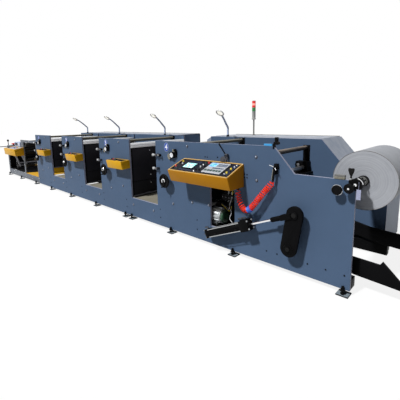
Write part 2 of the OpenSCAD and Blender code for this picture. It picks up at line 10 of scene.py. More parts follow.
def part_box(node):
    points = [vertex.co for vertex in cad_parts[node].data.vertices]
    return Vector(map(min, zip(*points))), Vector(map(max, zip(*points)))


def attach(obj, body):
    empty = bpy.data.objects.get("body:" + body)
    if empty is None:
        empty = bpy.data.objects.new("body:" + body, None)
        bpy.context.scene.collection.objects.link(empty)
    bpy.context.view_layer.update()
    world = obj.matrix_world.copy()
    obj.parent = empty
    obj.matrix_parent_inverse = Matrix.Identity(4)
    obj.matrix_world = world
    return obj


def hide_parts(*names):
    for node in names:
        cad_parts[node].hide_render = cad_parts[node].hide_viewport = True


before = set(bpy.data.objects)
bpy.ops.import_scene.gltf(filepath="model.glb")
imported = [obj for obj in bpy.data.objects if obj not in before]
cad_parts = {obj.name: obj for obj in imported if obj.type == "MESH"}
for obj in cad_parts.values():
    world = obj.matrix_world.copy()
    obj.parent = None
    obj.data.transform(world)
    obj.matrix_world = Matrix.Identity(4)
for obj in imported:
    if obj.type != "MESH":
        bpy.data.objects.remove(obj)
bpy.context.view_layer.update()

bl_info = {
    "name": "Printing press finishing",
    "version": (1, 0, 0),
    "blender": (4, 5, 0),
    "location": "3D View > Sidebar > Press",
    "description": "Finishes, fittings and studio stage for a four-unit web printing press",
    "category": "Object",
}

# ---------------------------------------------------------------- places, in metres
# Shapes are laid out from the foot of the first tower: X along the machine towards the
# unwind end, Y away from the operator, Z up. piece() moves them into the frame.


def side(node, corner, axis):
    """One face of a CAD node's box, measured from the foot of the first tower."""
    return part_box(node)[corner][axis] - (FOOT[axis] if axis < 2 else 0)


FOOT = Vector((*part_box("front_wall_units")[0].xy, 0))
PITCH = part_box("handwheel_2")[0].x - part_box("handwheel_1")[0].x
TOP = side("front_wall_units", 1, 2)
FRONT_IN = side("front_wall_units", 1, 1)
SPLIT = side("front_wall_units", 1, 0)
TOWER = SPLIT - 2 * PITCH
REAR_IN = side("rear_wall_units", 0, 1)
REAR_OUT = side("rear_wall_units", 1, 1)
BACK = side("gear_housing_units", 1, 1)
CASE_2 = side("gear_housing_unwind", 0, 0)
END = side("front_wall_unwind", 1, 0)
LOW_TOP = side("shaft_chucks", 0, 2) + 0.086
LEFT = side("rewind_frame", 0, 0)
FLOOR_GAP = side("front_wall_units", 0, 2)
UNIT4 = 3 * PITCH
ROLL_X, ROLL_Z, ROLL_RADIUS = END + 0.008, LOW_TOP - 0.028, 0.295
ALONG, OUT, UP = (1, 0, 0), (0, -1, 0), (0, 0, 1)
IN = (0, 1, 0)
PRESS = "press"


def unit(i, x, y, z):
    """A point beside tower i, with x from that tower's left edge."""
    return Vector((i * PITCH + x, y, z))


# ---------------------------------------------------------------- settings


def length(name, default, text, low):
    return FloatProperty(name=name, description=text, default=default, min=low, unit="LENGTH",
                         subtype="DISTANCE")


def colour(name, default, text):
    return FloatVectorProperty(name=name, description=text, default=default, min=0, max=1, size=3,
                               subtype="COLOR")


class PressColours(bpy.types.PropertyGroup):
    """Colours of the press's finishes, scene linear."""

    wall: colour("Walls", (0.066, 0.106, 0.178), "Paint of the side walls")
    casing: colour("Casings", (0.24, 0.285, 0.37), "Paint of the gear casings")
    rewind: colour("Rewind frame", (0.12, 0.137, 0.165), "Paint of the rewind frame")
    yellow: colour("Boxes", (0.66, 0.35, 0.008), "Paint of the control boxes")
    console: colour("Console", (0.42, 0.18, 0.005), "Paint of the operator console")
    hose: colour("Air hose", (0.8, 0.035, 0.013), "Coiled air hose")
    paper: colour("Paper", (0.365, 0.378, 0.405), "Paper on the roll")
    badge: colour("Badges", (0.012, 0.062, 0.34), "Ground of the unit number badges")


class PressSizes(bpy.types.PropertyGroup):
    """Sizes of the press's fittings."""

    bolt_head: length("Bolt heads", 0.028, "Width of the bright heads on the walls", 0.01)
    badge_height: length("Badge height", 0.145, "Height of a unit number badge", 0.02)
    hose_tube: length("Hose tube", 0.0122, "Diameter of the air hose's own tube", 0.004)
    coil_pitch: length("Coil pitch", 0.0255, "Distance between the closest turns", 0.013)
    louvre_step: length("Louvre step", 0.026, "Distance between vent louvres", 0.01)
    louvres: IntProperty(name="Louvres", description="Slats in a vent", default=12, min=2)


class StageSettings(bpy.types.PropertyGroup):
    """The camera and the lights."""

    lens: length("Lens", 0.027016, "Focal length for a 36 mm sensor", 0.01)
    sun: FloatProperty(name="Key light", description="Strength of the key", default=4.1)
    sky: FloatProperty(name="Fill", description="Light from all round", default=0.09)


# ---------------------------------------------------------------- shapes


def on_axis(start, direction):
    """A frame at start whose own Z runs along direction."""
    turn = Vector(direction).to_track_quat("Z", "Y").to_matrix().to_4x4()
    return Matrix.Translation(start) @ turn


def tilted(origin, degrees, axis):
    """A frame at origin turned about one axis."""
    return Matrix.Translation(origin) @ Matrix.Rotation(math.radians(degrees), 4, axis)


def upright(place):
    """The direction of a frame's own Z."""
    return place.to_3x3() @ Vector(UP)


def soft_edges(bm, edges, bevel, segments):
    if bevel:
        bmesh.ops.bevel(bm, geom=list(dict.fromkeys(edges)), offset=bevel, segments=segments,
                        profile=0.5, affect="EDGES")


def slab(bm, low, high, bevel=0.0015, place=None, segments=1):
    """A box between two corners, with its edges bevelled."""
    low, high = Vector(low), Vector(high)
    made = bmesh.ops.create_cube(bm, size=1)["verts"]
    for v in made:
        v.co = Vector(low[k] + (v.co[k] + 0.5) * (high[k] - low[k]) for k in range(3))
        if place:
            v.co = place @ v.co
    soft_edges(bm, (e for v in made for e in v.link_edges), bevel, segments)


def block(bm, low, high, bevel, place=None):
    """A box with well rounded edges."""
    slab(bm, low, high, bevel, place, 2)


def slabs(bm, boxes, bevel=0.0015, place=None):
    """Several boxes alike, each given by its two corners."""
    for low, high in boxes:
        slab(bm, low, high, bevel, place)


def circle(radius, sides):
    """Points of a circle, as (cosine, sine) pairs times radius."""
    angles = [math.tau * k / sides for k in range(sides)]
    return [(radius * math.cos(a), radius * math.sin(a)) for a in angles]


def lathe(bm, start, direction, profile, sides=32, closed=False):
    """A turned shape: profile holds (radius, distance along the axis) pairs."""
    place = on_axis(start, direction)
    rings = [[bm.verts.new(place @ Vector((x, y, along)))
              for x, y in circle(radius, 1 if radius == 0 else sides)]
             for radius, along in profile]
    pairs = list(zip(rings, rings[1:]))
    if closed:
        pairs.append((rings[-1], rings[0]))
    for a, b in pairs:
        for k in range(sides):
            n = (k + 1) % sides
            corners = [a[k % len(a)], a[n % len(a)], b[n % len(b)], b[k % len(b)]]
            corners = list(dict.fromkeys(corners))
            if len(corners) > 2:
                bm.faces.new(corners)
    if not closed:
        for end, flip in ((rings[0], True), (rings[-1], False)):
            if len(end) > 1:
                bm.faces.new(end[::-1] if flip else end)


def rod(bm, start, end, radius, sides=24, chamfer=0.0015):
    """A round bar between two points, with chamfered ends."""
    start, end = Vector(start), Vector(end)
    long = (end - start).length
    c = min(chamfer, radius * 0.4, long * 0.3)
    lathe(bm, start, end - start,
          [(radius - c, 0), (radius, c), (radius, long - c), (radius - c, long)], sides)


def ring(bm, centre, direction, inner, outer, thick, sides=48, chamfer=0.0015):
    """A flat ring with chamfered edges, from centre along direction."""
    c = chamfer
    lathe(bm, centre, direction,
          [(inner, c), (inner + c, 0), (outer - c, 0), (outer, c), (outer, thick - c),
           (outer - c, thick), (inner + c, thick), (inner, thick - c)], sides, closed=True)


def torus(bm, centre, direction, radius, tube, sides=64, tube_sides=16):
    """A round ring of round section."""
    lathe(bm, centre, direction, [(radius + x, y) for x, y in circle(tube, tube_sides)], sides,
          closed=True)


def frames(points):
    """Directions and side vectors along a line of points, turning as little as possible."""
    ways = [(points[min(i + 1, len(points) - 1)] - points[max(i - 1, 0)]).normalized()
            for i in range(len(points))]
    across = ways[0].orthogonal().normalized()
    out = []
    for way in ways:
        across = (across - across.dot(way) * way).normalized()
        out.append((way, across, way.cross(across)))
    return out


def sweep(bm, points, radius, sides=12):
    """A round tube along points, closed at both ends; radius may be a list."""
    radii = radius if hasattr(radius, "__len__") else [radius] * len(points)
    rings = []
    for p, (_, u, v), r in zip(points, frames(points), radii):
        rings.append([bm.verts.new(p + r * (x * u + y * v)) for x, y in circle(1, sides)])
    for a, b in zip(rings, rings[1:]):
        for k in range(sides):
            n = (k + 1) % sides
            bm.faces.new([a[k], a[n], b[n], b[k]])
    bm.faces.new(rings[0][::-1])
    bm.faces.new(rings[-1])


def prism(bm, outline, axis, start, end, bevel=0.002, place=None, segments=1):
    """An outline drawn in the two other axes, drawn out along axis ("X", "Y" or "Z")."""
    k = "XYZ".index(axis)
    others = [n for n in range(3) if n != k]
    rings = []
    for level in (start, end):
        verts = []
        for a, b in outline:
            p = Vector((0, 0, 0))
            p[k], p[others[0]], p[others[1]] = level, a, b
            verts.append(bm.verts.new(place @ p if place else p))
        rings.append(verts)
    count = len(outline)
    faces = [bm.faces.new(rings[0]), bm.faces.new(rings[1][::-1])]
    for n in range(count):
        m = (n + 1) % count
        faces.append(bm.faces.new([rings[0][m], rings[0][n], rings[1][n], rings[1][m]]))
    soft_edges(bm, (e for f in faces for e in f.edges), bevel, segments)


def smooth_line(points, step):
    """Points close together on one smooth curve through the given points."""
    points = [Vector(p) for p in points]
    ends = [2 * points[0] - points[1]] + points + [2 * points[-1] - points[-2]]
    out = []
    for a, b, c, d in zip(ends, ends[1:], ends[2:], ends[3:]):
        count = max(2, round((c - b).length / step))
        for k in range(count):
            t = k / count
            out.append(0.5 * (2 * b + (c - a) * t + (2 * a - 5 * b + 4 * c - d) * t * t
                              + (3 * b - a - 3 * c + d) * t ** 3))
    return out + [points[-1]]


def move(bm, way):
    """Shifts everything in bm."""
    bmesh.ops.translate(bm, verts=bm.verts, vec=way)


def shape(make, *args):
    """A bmesh filled by one call."""
    bm = bmesh.new()
    make(bm, *args)
    return bm


def shapes(*parts):
    """A bmesh filled by several calls, each given as (function, arguments...)."""
    bm = bmesh.new()
    for make, *args in parts:
        make(bm, *args)
    return bm


# ---------------------------------------------------------------- pieces


def link_object(name, mesh):
    obj = bpy.data.objects.new(name, mesh)
    bpy.context.scene.collection.objects.link(obj)
    return obj


def as_mesh(name, bm):
    mesh = bpy.data.meshes.new(name)
    bm.to_mesh(mesh)
    bm.free()
    return mesh


def soften(mesh, angle):
    """Smooth shading with every edge sharper than angle, in degrees, kept crisp."""
    mesh.shade_smooth()
    mesh.set_sharp_from_angle(angle=math.radians(angle))


def settle(obj, material, body=PRESS, replaces=(), slot=None):
    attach(obj, body)
    if replaces:
        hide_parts(*replaces)
    slot or SLOTS.get(material, material)
    return obj


def piece(name, bm, material, body=PRESS, replaces=(), slot=None, smooth=34):
    """Turns a finished bmesh into a piece that rides on a body."""
    bmesh.ops.recalc_face_normals(bm, faces=bm.faces)
    move(bm, FOOT)
    mesh = as_mesh(name, bm)
    soften(mesh, smooth)
    mesh.materials.append(finish(material))
    return settle(link_object(name, mesh), material, body, replaces, slot)


def build(name, material, *parts, **options):
    """A piece made of shapes, each given as (function, arguments...)."""
    return piece(name, shapes(*parts), material, **options)


def carry(node, material, body=PRESS, bevel=0.0, slot=None):
    """A rounded and smoothly shaded copy of a CAD node, which stands for it."""
    bm = bmesh.new()
    bm.from_mesh(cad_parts[node].data)
    bmesh.ops.remove_doubles(bm, verts=bm.verts, dist=0.00002)
    bmesh.ops.dissolve_limit(bm, angle_limit=math.radians(0.5), verts=bm.verts, edges=bm.edges)
    if bevel:
        edges = [e for e in bm.edges if e.is_manifold and e.calc_face_angle(0) > math.radians(40)]
        bmesh.ops.bevel(bm, geom=edges, offset=bevel, segments=2, profile=0.5, affect="EDGES",
                        clamp_overlap=True)
    move(bm, -FOOT)
    return piece(node + "_finished", bm, material, body, [node], slot)


def coat(node, *materials):
    """Gives a CAD node that keeps its shape a finish, or several."""
    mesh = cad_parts[node].data
    mesh.materials.clear()
    for material in materials:
        mesh.materials.append(finish(material))
    return mesh


# ---------------------------------------------------------------- node trees


class Net:
    """A node tree being filled; most methods add one node and return what it puts out."""

    def __init__(self, tree):
        self.tree = tree

    def feed(self, socket, value):
        if isinstance(value, bpy.types.NodeSocket):
            self.tree.links.new(value, socket)
        else:
            socket.default_value = value

    def add(self, kind, feeds=None, **settings):
        """A node with its settings made and its sockets fed by values or other sockets."""
        made = self.tree.nodes.new(kind)
        for key, value in settings.items():
            setattr(made, key, value)
        for key, value in (feeds or {}).items():
            self.feed(made.inputs[key], value)
        return made

    def maths(self, operation, a, b=0.0):
        return self.add("ShaderNodeMath", {0: a, 1: b}, operation=operation).outputs[0]

    def plus(self, a, b):
        return self.maths("ADD", a, b)

    def minus(self, a, b):
        return self.maths("SUBTRACT", a, b)

    def times(self, a, b):
        return self.maths("MULTIPLY", a, b)

    def over(self, a, b):
        return self.maths("DIVIDE", a, b)

    def vector(self, operation, a, b, output=0):
        key = "Scale" if operation == "SCALE" else 1
        made = self.add("ShaderNodeVectorMath", {0: a, key: b}, operation=operation)
        return made.outputs[output]

    def span(self, value, low, high, to_low=0.0, to_high=1.0):
        """value taken from low..high to to_low..to_high, held at both ends."""
        feeds = {"Value": value, "From Min": low, "From Max": high, "To Min": to_low,
                 "To Max": to_high}
        return self.add("ShaderNodeMapRange", feeds).outputs["Result"]

    def mixed(self, factor, a, b):
        """A colour between a and b."""
        return self.add("ShaderNodeMix", {0: factor, 6: a, 7: b}, data_type="RGBA").outputs[2]

    def here(self):
        return self.add("ShaderNodeTexCoord").outputs["Object"]

    def parts(self, vector):
        return self.add("ShaderNodeSeparateXYZ", {0: vector}).outputs

    def facing(self):
        """The way that the surface looks, as X, Y and Z."""
        return self.parts(self.add("ShaderNodeNewGeometry").outputs["Normal"])

    def noise(self, scale, detail=3.0, rough=0.55, vector=None):
        feeds = {"Scale": scale, "Detail": detail, "Roughness": rough,
                 "Vector": vector or self.here()}
        return self.add("ShaderNodeTexNoise", feeds).outputs["Fac"]

    def cells(self, size, output):
        """Square cells of a given size."""
        feeds = {"Vector": self.here(), "Scale": self.over(1.0, size)}
        return self.add("ShaderNodeTexVoronoi", feeds, distance="CHEBYCHEV").outputs[output]


def paint_group(net, given):
    """Sprayed paint: broad patches, fine orange peel, and a second colour on faces that look up,
    which stands for settled dirt on most finishes and is a painted highlight on the brown roller.
    """
    patch = net.span(net.noise(net.over(1.0, given["Patch Size"]), 5.0, 0.6), 0.34, 0.66)
    smear = net.span(net.noise(26.0, 6.0, 0.7), 0.3, 0.75)
    dark = net.vector("SCALE", given["Colour"], given["Patch Shade"])
    body = net.mixed(net.times(patch, net.span(smear, 0, 1, 0.6, 1.0)), given["Colour"], dark)
    # Second colour on upward faces: settled dirt, and a painted top highlight where the brown
    # roller uses it.
    dust_and_top_light = net.times(net.span(net.facing()["Z"], 0.25, 0.95),
                      net.span(net.noise(5.0, 6.0, 0.65), 0.35, 0.62, 0.25, 1.0))
    dust_and_top_light = net.times(dust_and_top_light, given["Dust"])
    rough = net.times(net.minus(smear, 0.5), given["Roughness Spread"])
    rough = net.plus(net.plus(rough, given["Roughness"]), net.times(dust_and_top_light, 0.5))
    peel = net.noise(net.over(1.0, given["Peel Size"]), 2.0, 0.4)
    return net.mixed(dust_and_top_light, body, given["Dust Colour"]), rough, peel


def wear_group(net, given):
    """Wear along edges: a mask, and a normal that rounds the edge a little."""
    rounded = net.add("ShaderNodeBevel", {"Radius": given["Width"]}, samples=4).outputs[0]
    flat = net.add("ShaderNodeNewGeometry").outputs["Normal"]
    edge = net.span(net.vector("DOT_PRODUCT", rounded, flat, "Value"), 0.995, 0.86)
    broken = net.span(net.noise(given["Break Up"], 5.0, 0.7), 0.42, 0.6)
    return net.times(net.times(edge, broken), given["Amount"]), rounded


def brushed_group(net, given):
    """Brushed or turned metal: fine lines, with smudges that dull it."""
    grain = net.noise(1.0, 3.0, 0.6, net.vector("MULTIPLY", net.here(), given["Line Scale"]))
    smudge = net.span(net.noise(14.0, 6.0, 0.65), 0.4, 0.7)
    shade = net.plus(1.0, net.times(net.minus(grain, 0.5), given["Contrast"]))
    shade = net.minus(shade, net.times(smudge, net.times(given["Smudges"], 0.6)))
    rough = net.plus(given["Roughness"], net.times(smudge, given["Smudges"]))
    tone = net.vector("SCALE", given["Colour"], shade)
    return tone, net.plus(rough, net.times(grain, 0.06)), grain


def moulded_group(net, given):
    """Moulded or cast surface: a fine sand texture and faint handling marks."""
    mark = net.span(net.noise(18.0, 7.0, 0.7), 0.5, 0.72)
    mark = net.times(mark, net.span(net.facing()["Z"], -0.4, 1.0, 0.5, 1.3))
    tone = net.mixed(net.times(mark, given["Marks"]), given["Colour"], given["Mark Colour"])
    rough = net.plus(given["Roughness"], net.times(mark, given["Roughness Spread"]))
    return tone, rough, net.noise(net.over(1.0, given["Sand Size"]), 2.0, 0.5)


def wound_group(net, given):
    """Rings of a wound roll, about an axis along Y through a centre point."""
    parts = net.parts(net.vector("SUBTRACT", net.here(), given["Centre"]))
    out = net.maths("SQRT", net.plus(net.times(parts["X"], parts["X"]),
                                     net.times(parts["Z"], parts["Z"])))
    line = net.add("ShaderNodeCombineXYZ",
                   {0: net.over(out, given["Ring Pitch"]), 1: 0.3, 2: 0.7}).outputs[0]
    rings = net.span(net.noise(1.0, 4.0, 0.75, line), 0.38, 0.66)
    face = net.span(net.maths("ABSOLUTE", net.facing()["Y"]), 0.5, 0.9)
    fibre = net.span(net.noise(260.0, 3.0, 0.6), 0.3, 0.7, 0.0, 0.12)
    soiled = net.span(net.noise(4.0, 5.0, 0.6), 0.4, 0.75, 0.0, 0.25)
    on_face = net.times(rings, face)
    dark = net.plus(net.plus(net.times(on_face, given["Lines"]), fibre), soiled)
    rough = net.plus(given["Roughness"], net.times(fibre, 0.8))
    return net.mixed(dark, given["Colour"], given["Line Colour"]), rough, on_face


def screen_group(net, given):
    """A lit display: soft panels of two colours with rows of small marks."""
    panel = net.parts(net.cells(given["Block Size"], "Color"))["X"]
    rows = net.cells(given["Row Size"], "Distance")
    tone = net.times(net.span(panel, 0.3, 0.6), net.span(rows, 0.3, 0.5, 1, 0.6))
    return (net.mixed(tone, given["Colour"], given["Second Colour"]),
            net.span(rows, 0.2, 0.6, 0.15, 0.25), rows)


def copies_on(net, points, given, **feeds):
    return net.add("GeometryNodeInstanceOnPoints",
                   {"Points": points, "Instance": given["Geometry"], **feeds}).outputs[0]


def line_of(net, count, step):
    feeds = {"Count": count, "Offset": step}
    return net.add("GeometryNodeMeshLine", feeds, mode="OFFSET").outputs[0]


def row_tree(net, given):
    """The input shape repeated along a straight line."""
    return copies_on(net, line_of(net, given["Count"], given["Step"]), given)


def ring_tree(net, given):
    """The input shape repeated round an axis through Centre."""
    copies = copies_on(net, line_of(net, given["Count"], (0, 0, 0)), given)
    index = net.add("GeometryNodeInputIndex").outputs[0]
    angle = net.times(net.over(index, given["Count"]), math.tau)
    turn = net.add("FunctionNodeAxisAngleToRotation", {"Axis": given["Axis"], "Angle": angle})
    feeds = {"Instances": copies, "Rotation": turn.outputs[0], "Pivot Point": given["Centre"],
             "Local Space": False}
    return net.add("GeometryNodeRotateInstances", feeds).outputs[0]


def scatter_tree(net, given):
    """The input shape set on the points of Places, each with a spin of its own."""
    points = net.add("GeometryNodeObjectInfo", {"Object": given["Places"]}).outputs["Geometry"]
    turn = net.add("GeometryNodeInputNamedAttribute", {"Name": "turn"},
                   data_type="FLOAT_VECTOR").outputs[0]
    heads = copies_on(net, points, given, Rotation=turn, Scale=given["Size"])
    spin = net.add("FunctionNodeRandomValue",
                   {"Min": 0.0, "Max": given["Spin"], "Seed": given["Seed"]}, data_type="FLOAT")
    value = next(o for o in spin.outputs if o.enabled and o.type == "VALUE")
    about = net.add("ShaderNodeCombineXYZ", {2: value}).outputs[0]
    feeds = {"Instances": heads, "Rotation": about, "Local Space": True}
    return net.add("GeometryNodeRotateInstances", feeds).outputs[0]


def pipe_tree(net, given):
    """A round pipe along the edges of the input line, with rounded corners."""
    curve = net.add("GeometryNodeMeshToCurve", {"Mesh": given["Geometry"]}).outputs[0]
    fillet = net.add("GeometryNodeFilletCurve",
                     {"Curve": curve, "Radius": given["Bend"], "Limit Radius": True})
    if hasattr(fillet, "mode"):
        fillet.mode = "POLY"
    count = next((s for s in fillet.inputs if s.name == "Count"), None)
    if count is not None:
        count.default_value = 6
    profile = net.add("GeometryNodeCurvePrimitiveCircle",
                      {"Resolution": given["Sides"], "Radius": given["Radius"]}, mode="RADIUS")
    feeds = {"Curve": fillet.outputs[0], "Profile Curve": profile.outputs[0], "Fill Caps": True}
    pipe = net.add("GeometryNodeCurveToMesh", feeds).outputs[0]
    return net.add("GeometryNodeSetShadeSmooth", {"Geometry": pipe}).outputs[0]


def grey(shade):
    return (shade, shade, shade, 1)


SURFACE = {"Colour": "Color", "Roughness": "Float", "Height": "Float"}
# Name, what fills it, what it puts out, and its inputs with their defaults or kinds
SHADER_TREES = {
    "paint": ("Sprayed paint", paint_group, SURFACE, {
        "Colour": grey(0.5), "Patch Shade": 0.86, "Patch Size": 0.7,
        "Dust Colour": (0.55, 0.53, 0.5, 1), "Dust": 0.25, "Roughness": 0.4,
        "Roughness Spread": 0.16, "Peel Size": 0.006}),
    "wear": ("Edge wear", wear_group, {"Mask": "Float", "Normal": "Vector"},
             {"Width": 0.004, "Amount": 0.5, "Break Up": 30.0}),
    "brushed": ("Brushed metal", brushed_group, SURFACE, {
        "Colour": grey(0.6), "Line Scale": (60.0, 1200.0, 60.0), "Contrast": 0.12,
        "Roughness": 0.3, "Smudges": 0.15}),
    "moulded": ("Moulded surface", moulded_group, SURFACE, {
        "Colour": grey(0.03), "Mark Colour": grey(0.1), "Marks": 0.3, "Sand Size": 0.0015,
        "Roughness": 0.5, "Roughness Spread": 0.2}),
    "wound": ("Wound rings", wound_group, SURFACE, {
        "Centre": (0.0, 0.0, 0.0), "Ring Pitch": 0.006, "Colour": grey(0.6),
        "Line Colour": grey(0.4), "Lines": 0.4, "Roughness": 0.7}),
    "screen": ("Display", screen_group, SURFACE, {
        "Colour": (0.3, 0.7, 0.7, 1), "Second Colour": (0.8, 0.9, 0.9, 1), "Block Size": 0.02,
        "Row Size": 0.004}),
}
SHAPE = {"Geometry": "Geometry"}
SHAPE_TREES = {
    "row": ("Row of pieces", row_tree, SHAPE, {"Count": 4, "Step": (0.1, 0, 0)}),
    "ring": ("Ring of pieces", ring_tree, SHAPE,
             {"Count": 6, "Centre": (0, 0, 0), "Axis": (0, 1, 0)}),
    "scatter": ("Fasteners on points", scatter_tree, SHAPE,
                {"Places": "Object", "Size": 1.0, "Spin": 3.1416, "Seed": 7}),
    "pipe": ("Pipe run", pipe_tree, SHAPE, {"Radius": 0.005, "Bend": 0.03, "Sides": 10}),
}
READY, FINISHES = {}, {}


def socket_kind(default):
    if isinstance(default, str):
        return default
    if isinstance(default, tuple):
        return "Vector" if len(default) == 3 else "Color"
    return "Int" if isinstance(default, int) else "Float"


def tree_of(kind):
    """The node tree of one kind, made the first time that it is asked for."""
    if kind in READY:
        return READY[kind]
    grows = kind in SHAPE_TREES
    name, fill, outputs, inputs = (SHAPE_TREES if grows else SHADER_TREES)[kind]
    if grows:
        inputs = {**SHAPE, **inputs, "Material": "Material"}
    tree = bpy.data.node_groups.new(name, "GeometryNodeTree" if grows else "ShaderNodeTree")
    for label, default in inputs.items():
        made = tree.interface.new_socket(label, in_out="INPUT",
                                         socket_type="NodeSocket" + socket_kind(default))
        if not isinstance(default, str):
            made.default_value = default
    for label, socket in outputs.items():
        tree.interface.new_socket(label, in_out="OUTPUT", socket_type="NodeSocket" + socket)
    given = tree.nodes.new("NodeGroupInput").outputs
    made = tree.nodes.new("NodeGroupOutput").inputs
    net = Net(tree)
    values = fill(net, given)
    if grows:
        real = net.add("GeometryNodeRealizeInstances", {0: values}).outputs[0]
        values = net.add("GeometryNodeSetMaterial",
                         {"Geometry": real, "Material": given["Material"]}).outputs
    for label, value in zip(outputs, values):
        tree.links.new(value, made[label])
    READY[kind] = tree
    return tree


# ---------------------------------------------------------------- finishes


def group(net, kind, feeds):
    """One shared effect placed in a material with its own values."""
    made = net.add("ShaderNodeGroup")
    made.node_tree = tree_of(kind)
    for key, value in feeds.items():
        made.inputs[key].default_value = value
    return made.outputs


def solid(rgb):
    return (rgb[0], rgb[1], rgb[2], 1.0)


def build_finish(name, kind, values, bump, depth, wear=None, glow=0.0, **sockets):
    """A material: one surface group, an optional worn edge, and constants on the shader."""
    material = bpy.data.materials.new(name)
    material.use_nodes = True
    net = Net(material.node_tree)
    shader = net.tree.nodes["Principled BSDF"].inputs
    for label, value in sockets.items():
        shader[label.replace("_", " ")].default_value = value
    made = group(net, kind, values)
    tone = made["Colour"]
    feeds = {"Height": made["Height"], "Strength": bump, "Distance": depth}
    if wear:
        worn = group(net, "wear", {"Width": wear[0], "Amount": wear[1]})
        tone = net.mixed(worn["Mask"], tone, solid(wear[2]))
        feeds["Normal"] = worn["Normal"]
    net.feed(shader["Base Color"], tone)
    net.feed(shader["Roughness"], made["Roughness"])
    if glow:
        net.feed(shader["Emission Color"], tone)
        shader["Emission Strength"].default_value = glow
    net.feed(shader["Normal"], net.add("ShaderNodeBump", feeds).outputs[0])
    return material


def paint(name, rgb, rough=0.42, patch=0.86, dust=0.2, dust_and_top_light_rgb=(0.5, 0.5, 0.5), wear=0.35,
          bare=(0.42, 0.45, 0.5), gloss=0.35):
    return build_finish(name, "paint", {
        "Colour": solid(rgb), "Patch Shade": patch, "Patch Size": 0.7, "Dust": dust,
        "Dust Colour": solid(dust_and_top_light_rgb), "Roughness": rough}, 0.12, 0.0006,
        (0.004, wear, bare) if wear else None, Specular_IOR_Level=gloss)


def metal(name, rgb, rough=0.3, lines=(60, 900, 60), contrast=0.16, smudges=0.14, bump=0.06):
    return build_finish(name, "brushed", {
        "Colour": solid(rgb), "Line Scale": lines, "Contrast": contrast, "Roughness": rough,
        "Smudges": smudges}, bump, 0.0003, Metallic=1.0)


def moulded(name, rgb, rough=0.5, marks=0.3, mark_rgb=(0.12, 0.12, 0.13), sand=0.0015, bump=0.2,
            gloss=0.5):
    return build_finish(name, "moulded", {
        "Colour": solid(rgb), "Mark Colour": solid(mark_rgb), "Marks": marks,
        "Sand Size": sand, "Roughness": rough}, bump, 0.0004, Specular_IOR_Level=gloss)


def display(name, rgb, second, panel=0.02, row=0.004):
    return build_finish(name, "screen", {
        "Colour": solid(rgb), "Second Colour": solid(second), "Block Size": panel,
        "Row Size": row}, 0.02, 0.0002, glow=0.6, Specular_IOR_Level=0.3)


def lens(name, rgb, glow):
    """Ribbed coloured lens, lit from inside."""
    return build_finish(name, "moulded", {
        "Colour": solid(rgb), "Mark Colour": solid([min(1, 3 * v + 0.1) for v in rgb]),
        "Marks": 0.3, "Sand Size": 0.004, "Roughness": 0.2}, 0.1, 0.0004, glow=glow)


def wound(name, rgb, pitch, lines):
    """The side of the paper roll, with rings about its middle."""
    middle = (side("paper_roll", 0, 0) + ROLL_RADIUS, 0, side("paper_roll", 0, 2) + ROLL_RADIUS)
    return build_finish(name, "wound", {
        "Centre": FOOT + Vector(middle), "Ring Pitch": pitch, "Colour": solid(rgb),
        "Line Colour": (0.2, 0.21, 0.24, 1), "Lines": lines, "Roughness": 0.72}, 0.25, 0.0008,
        Specular_IOR_Level=0.2)


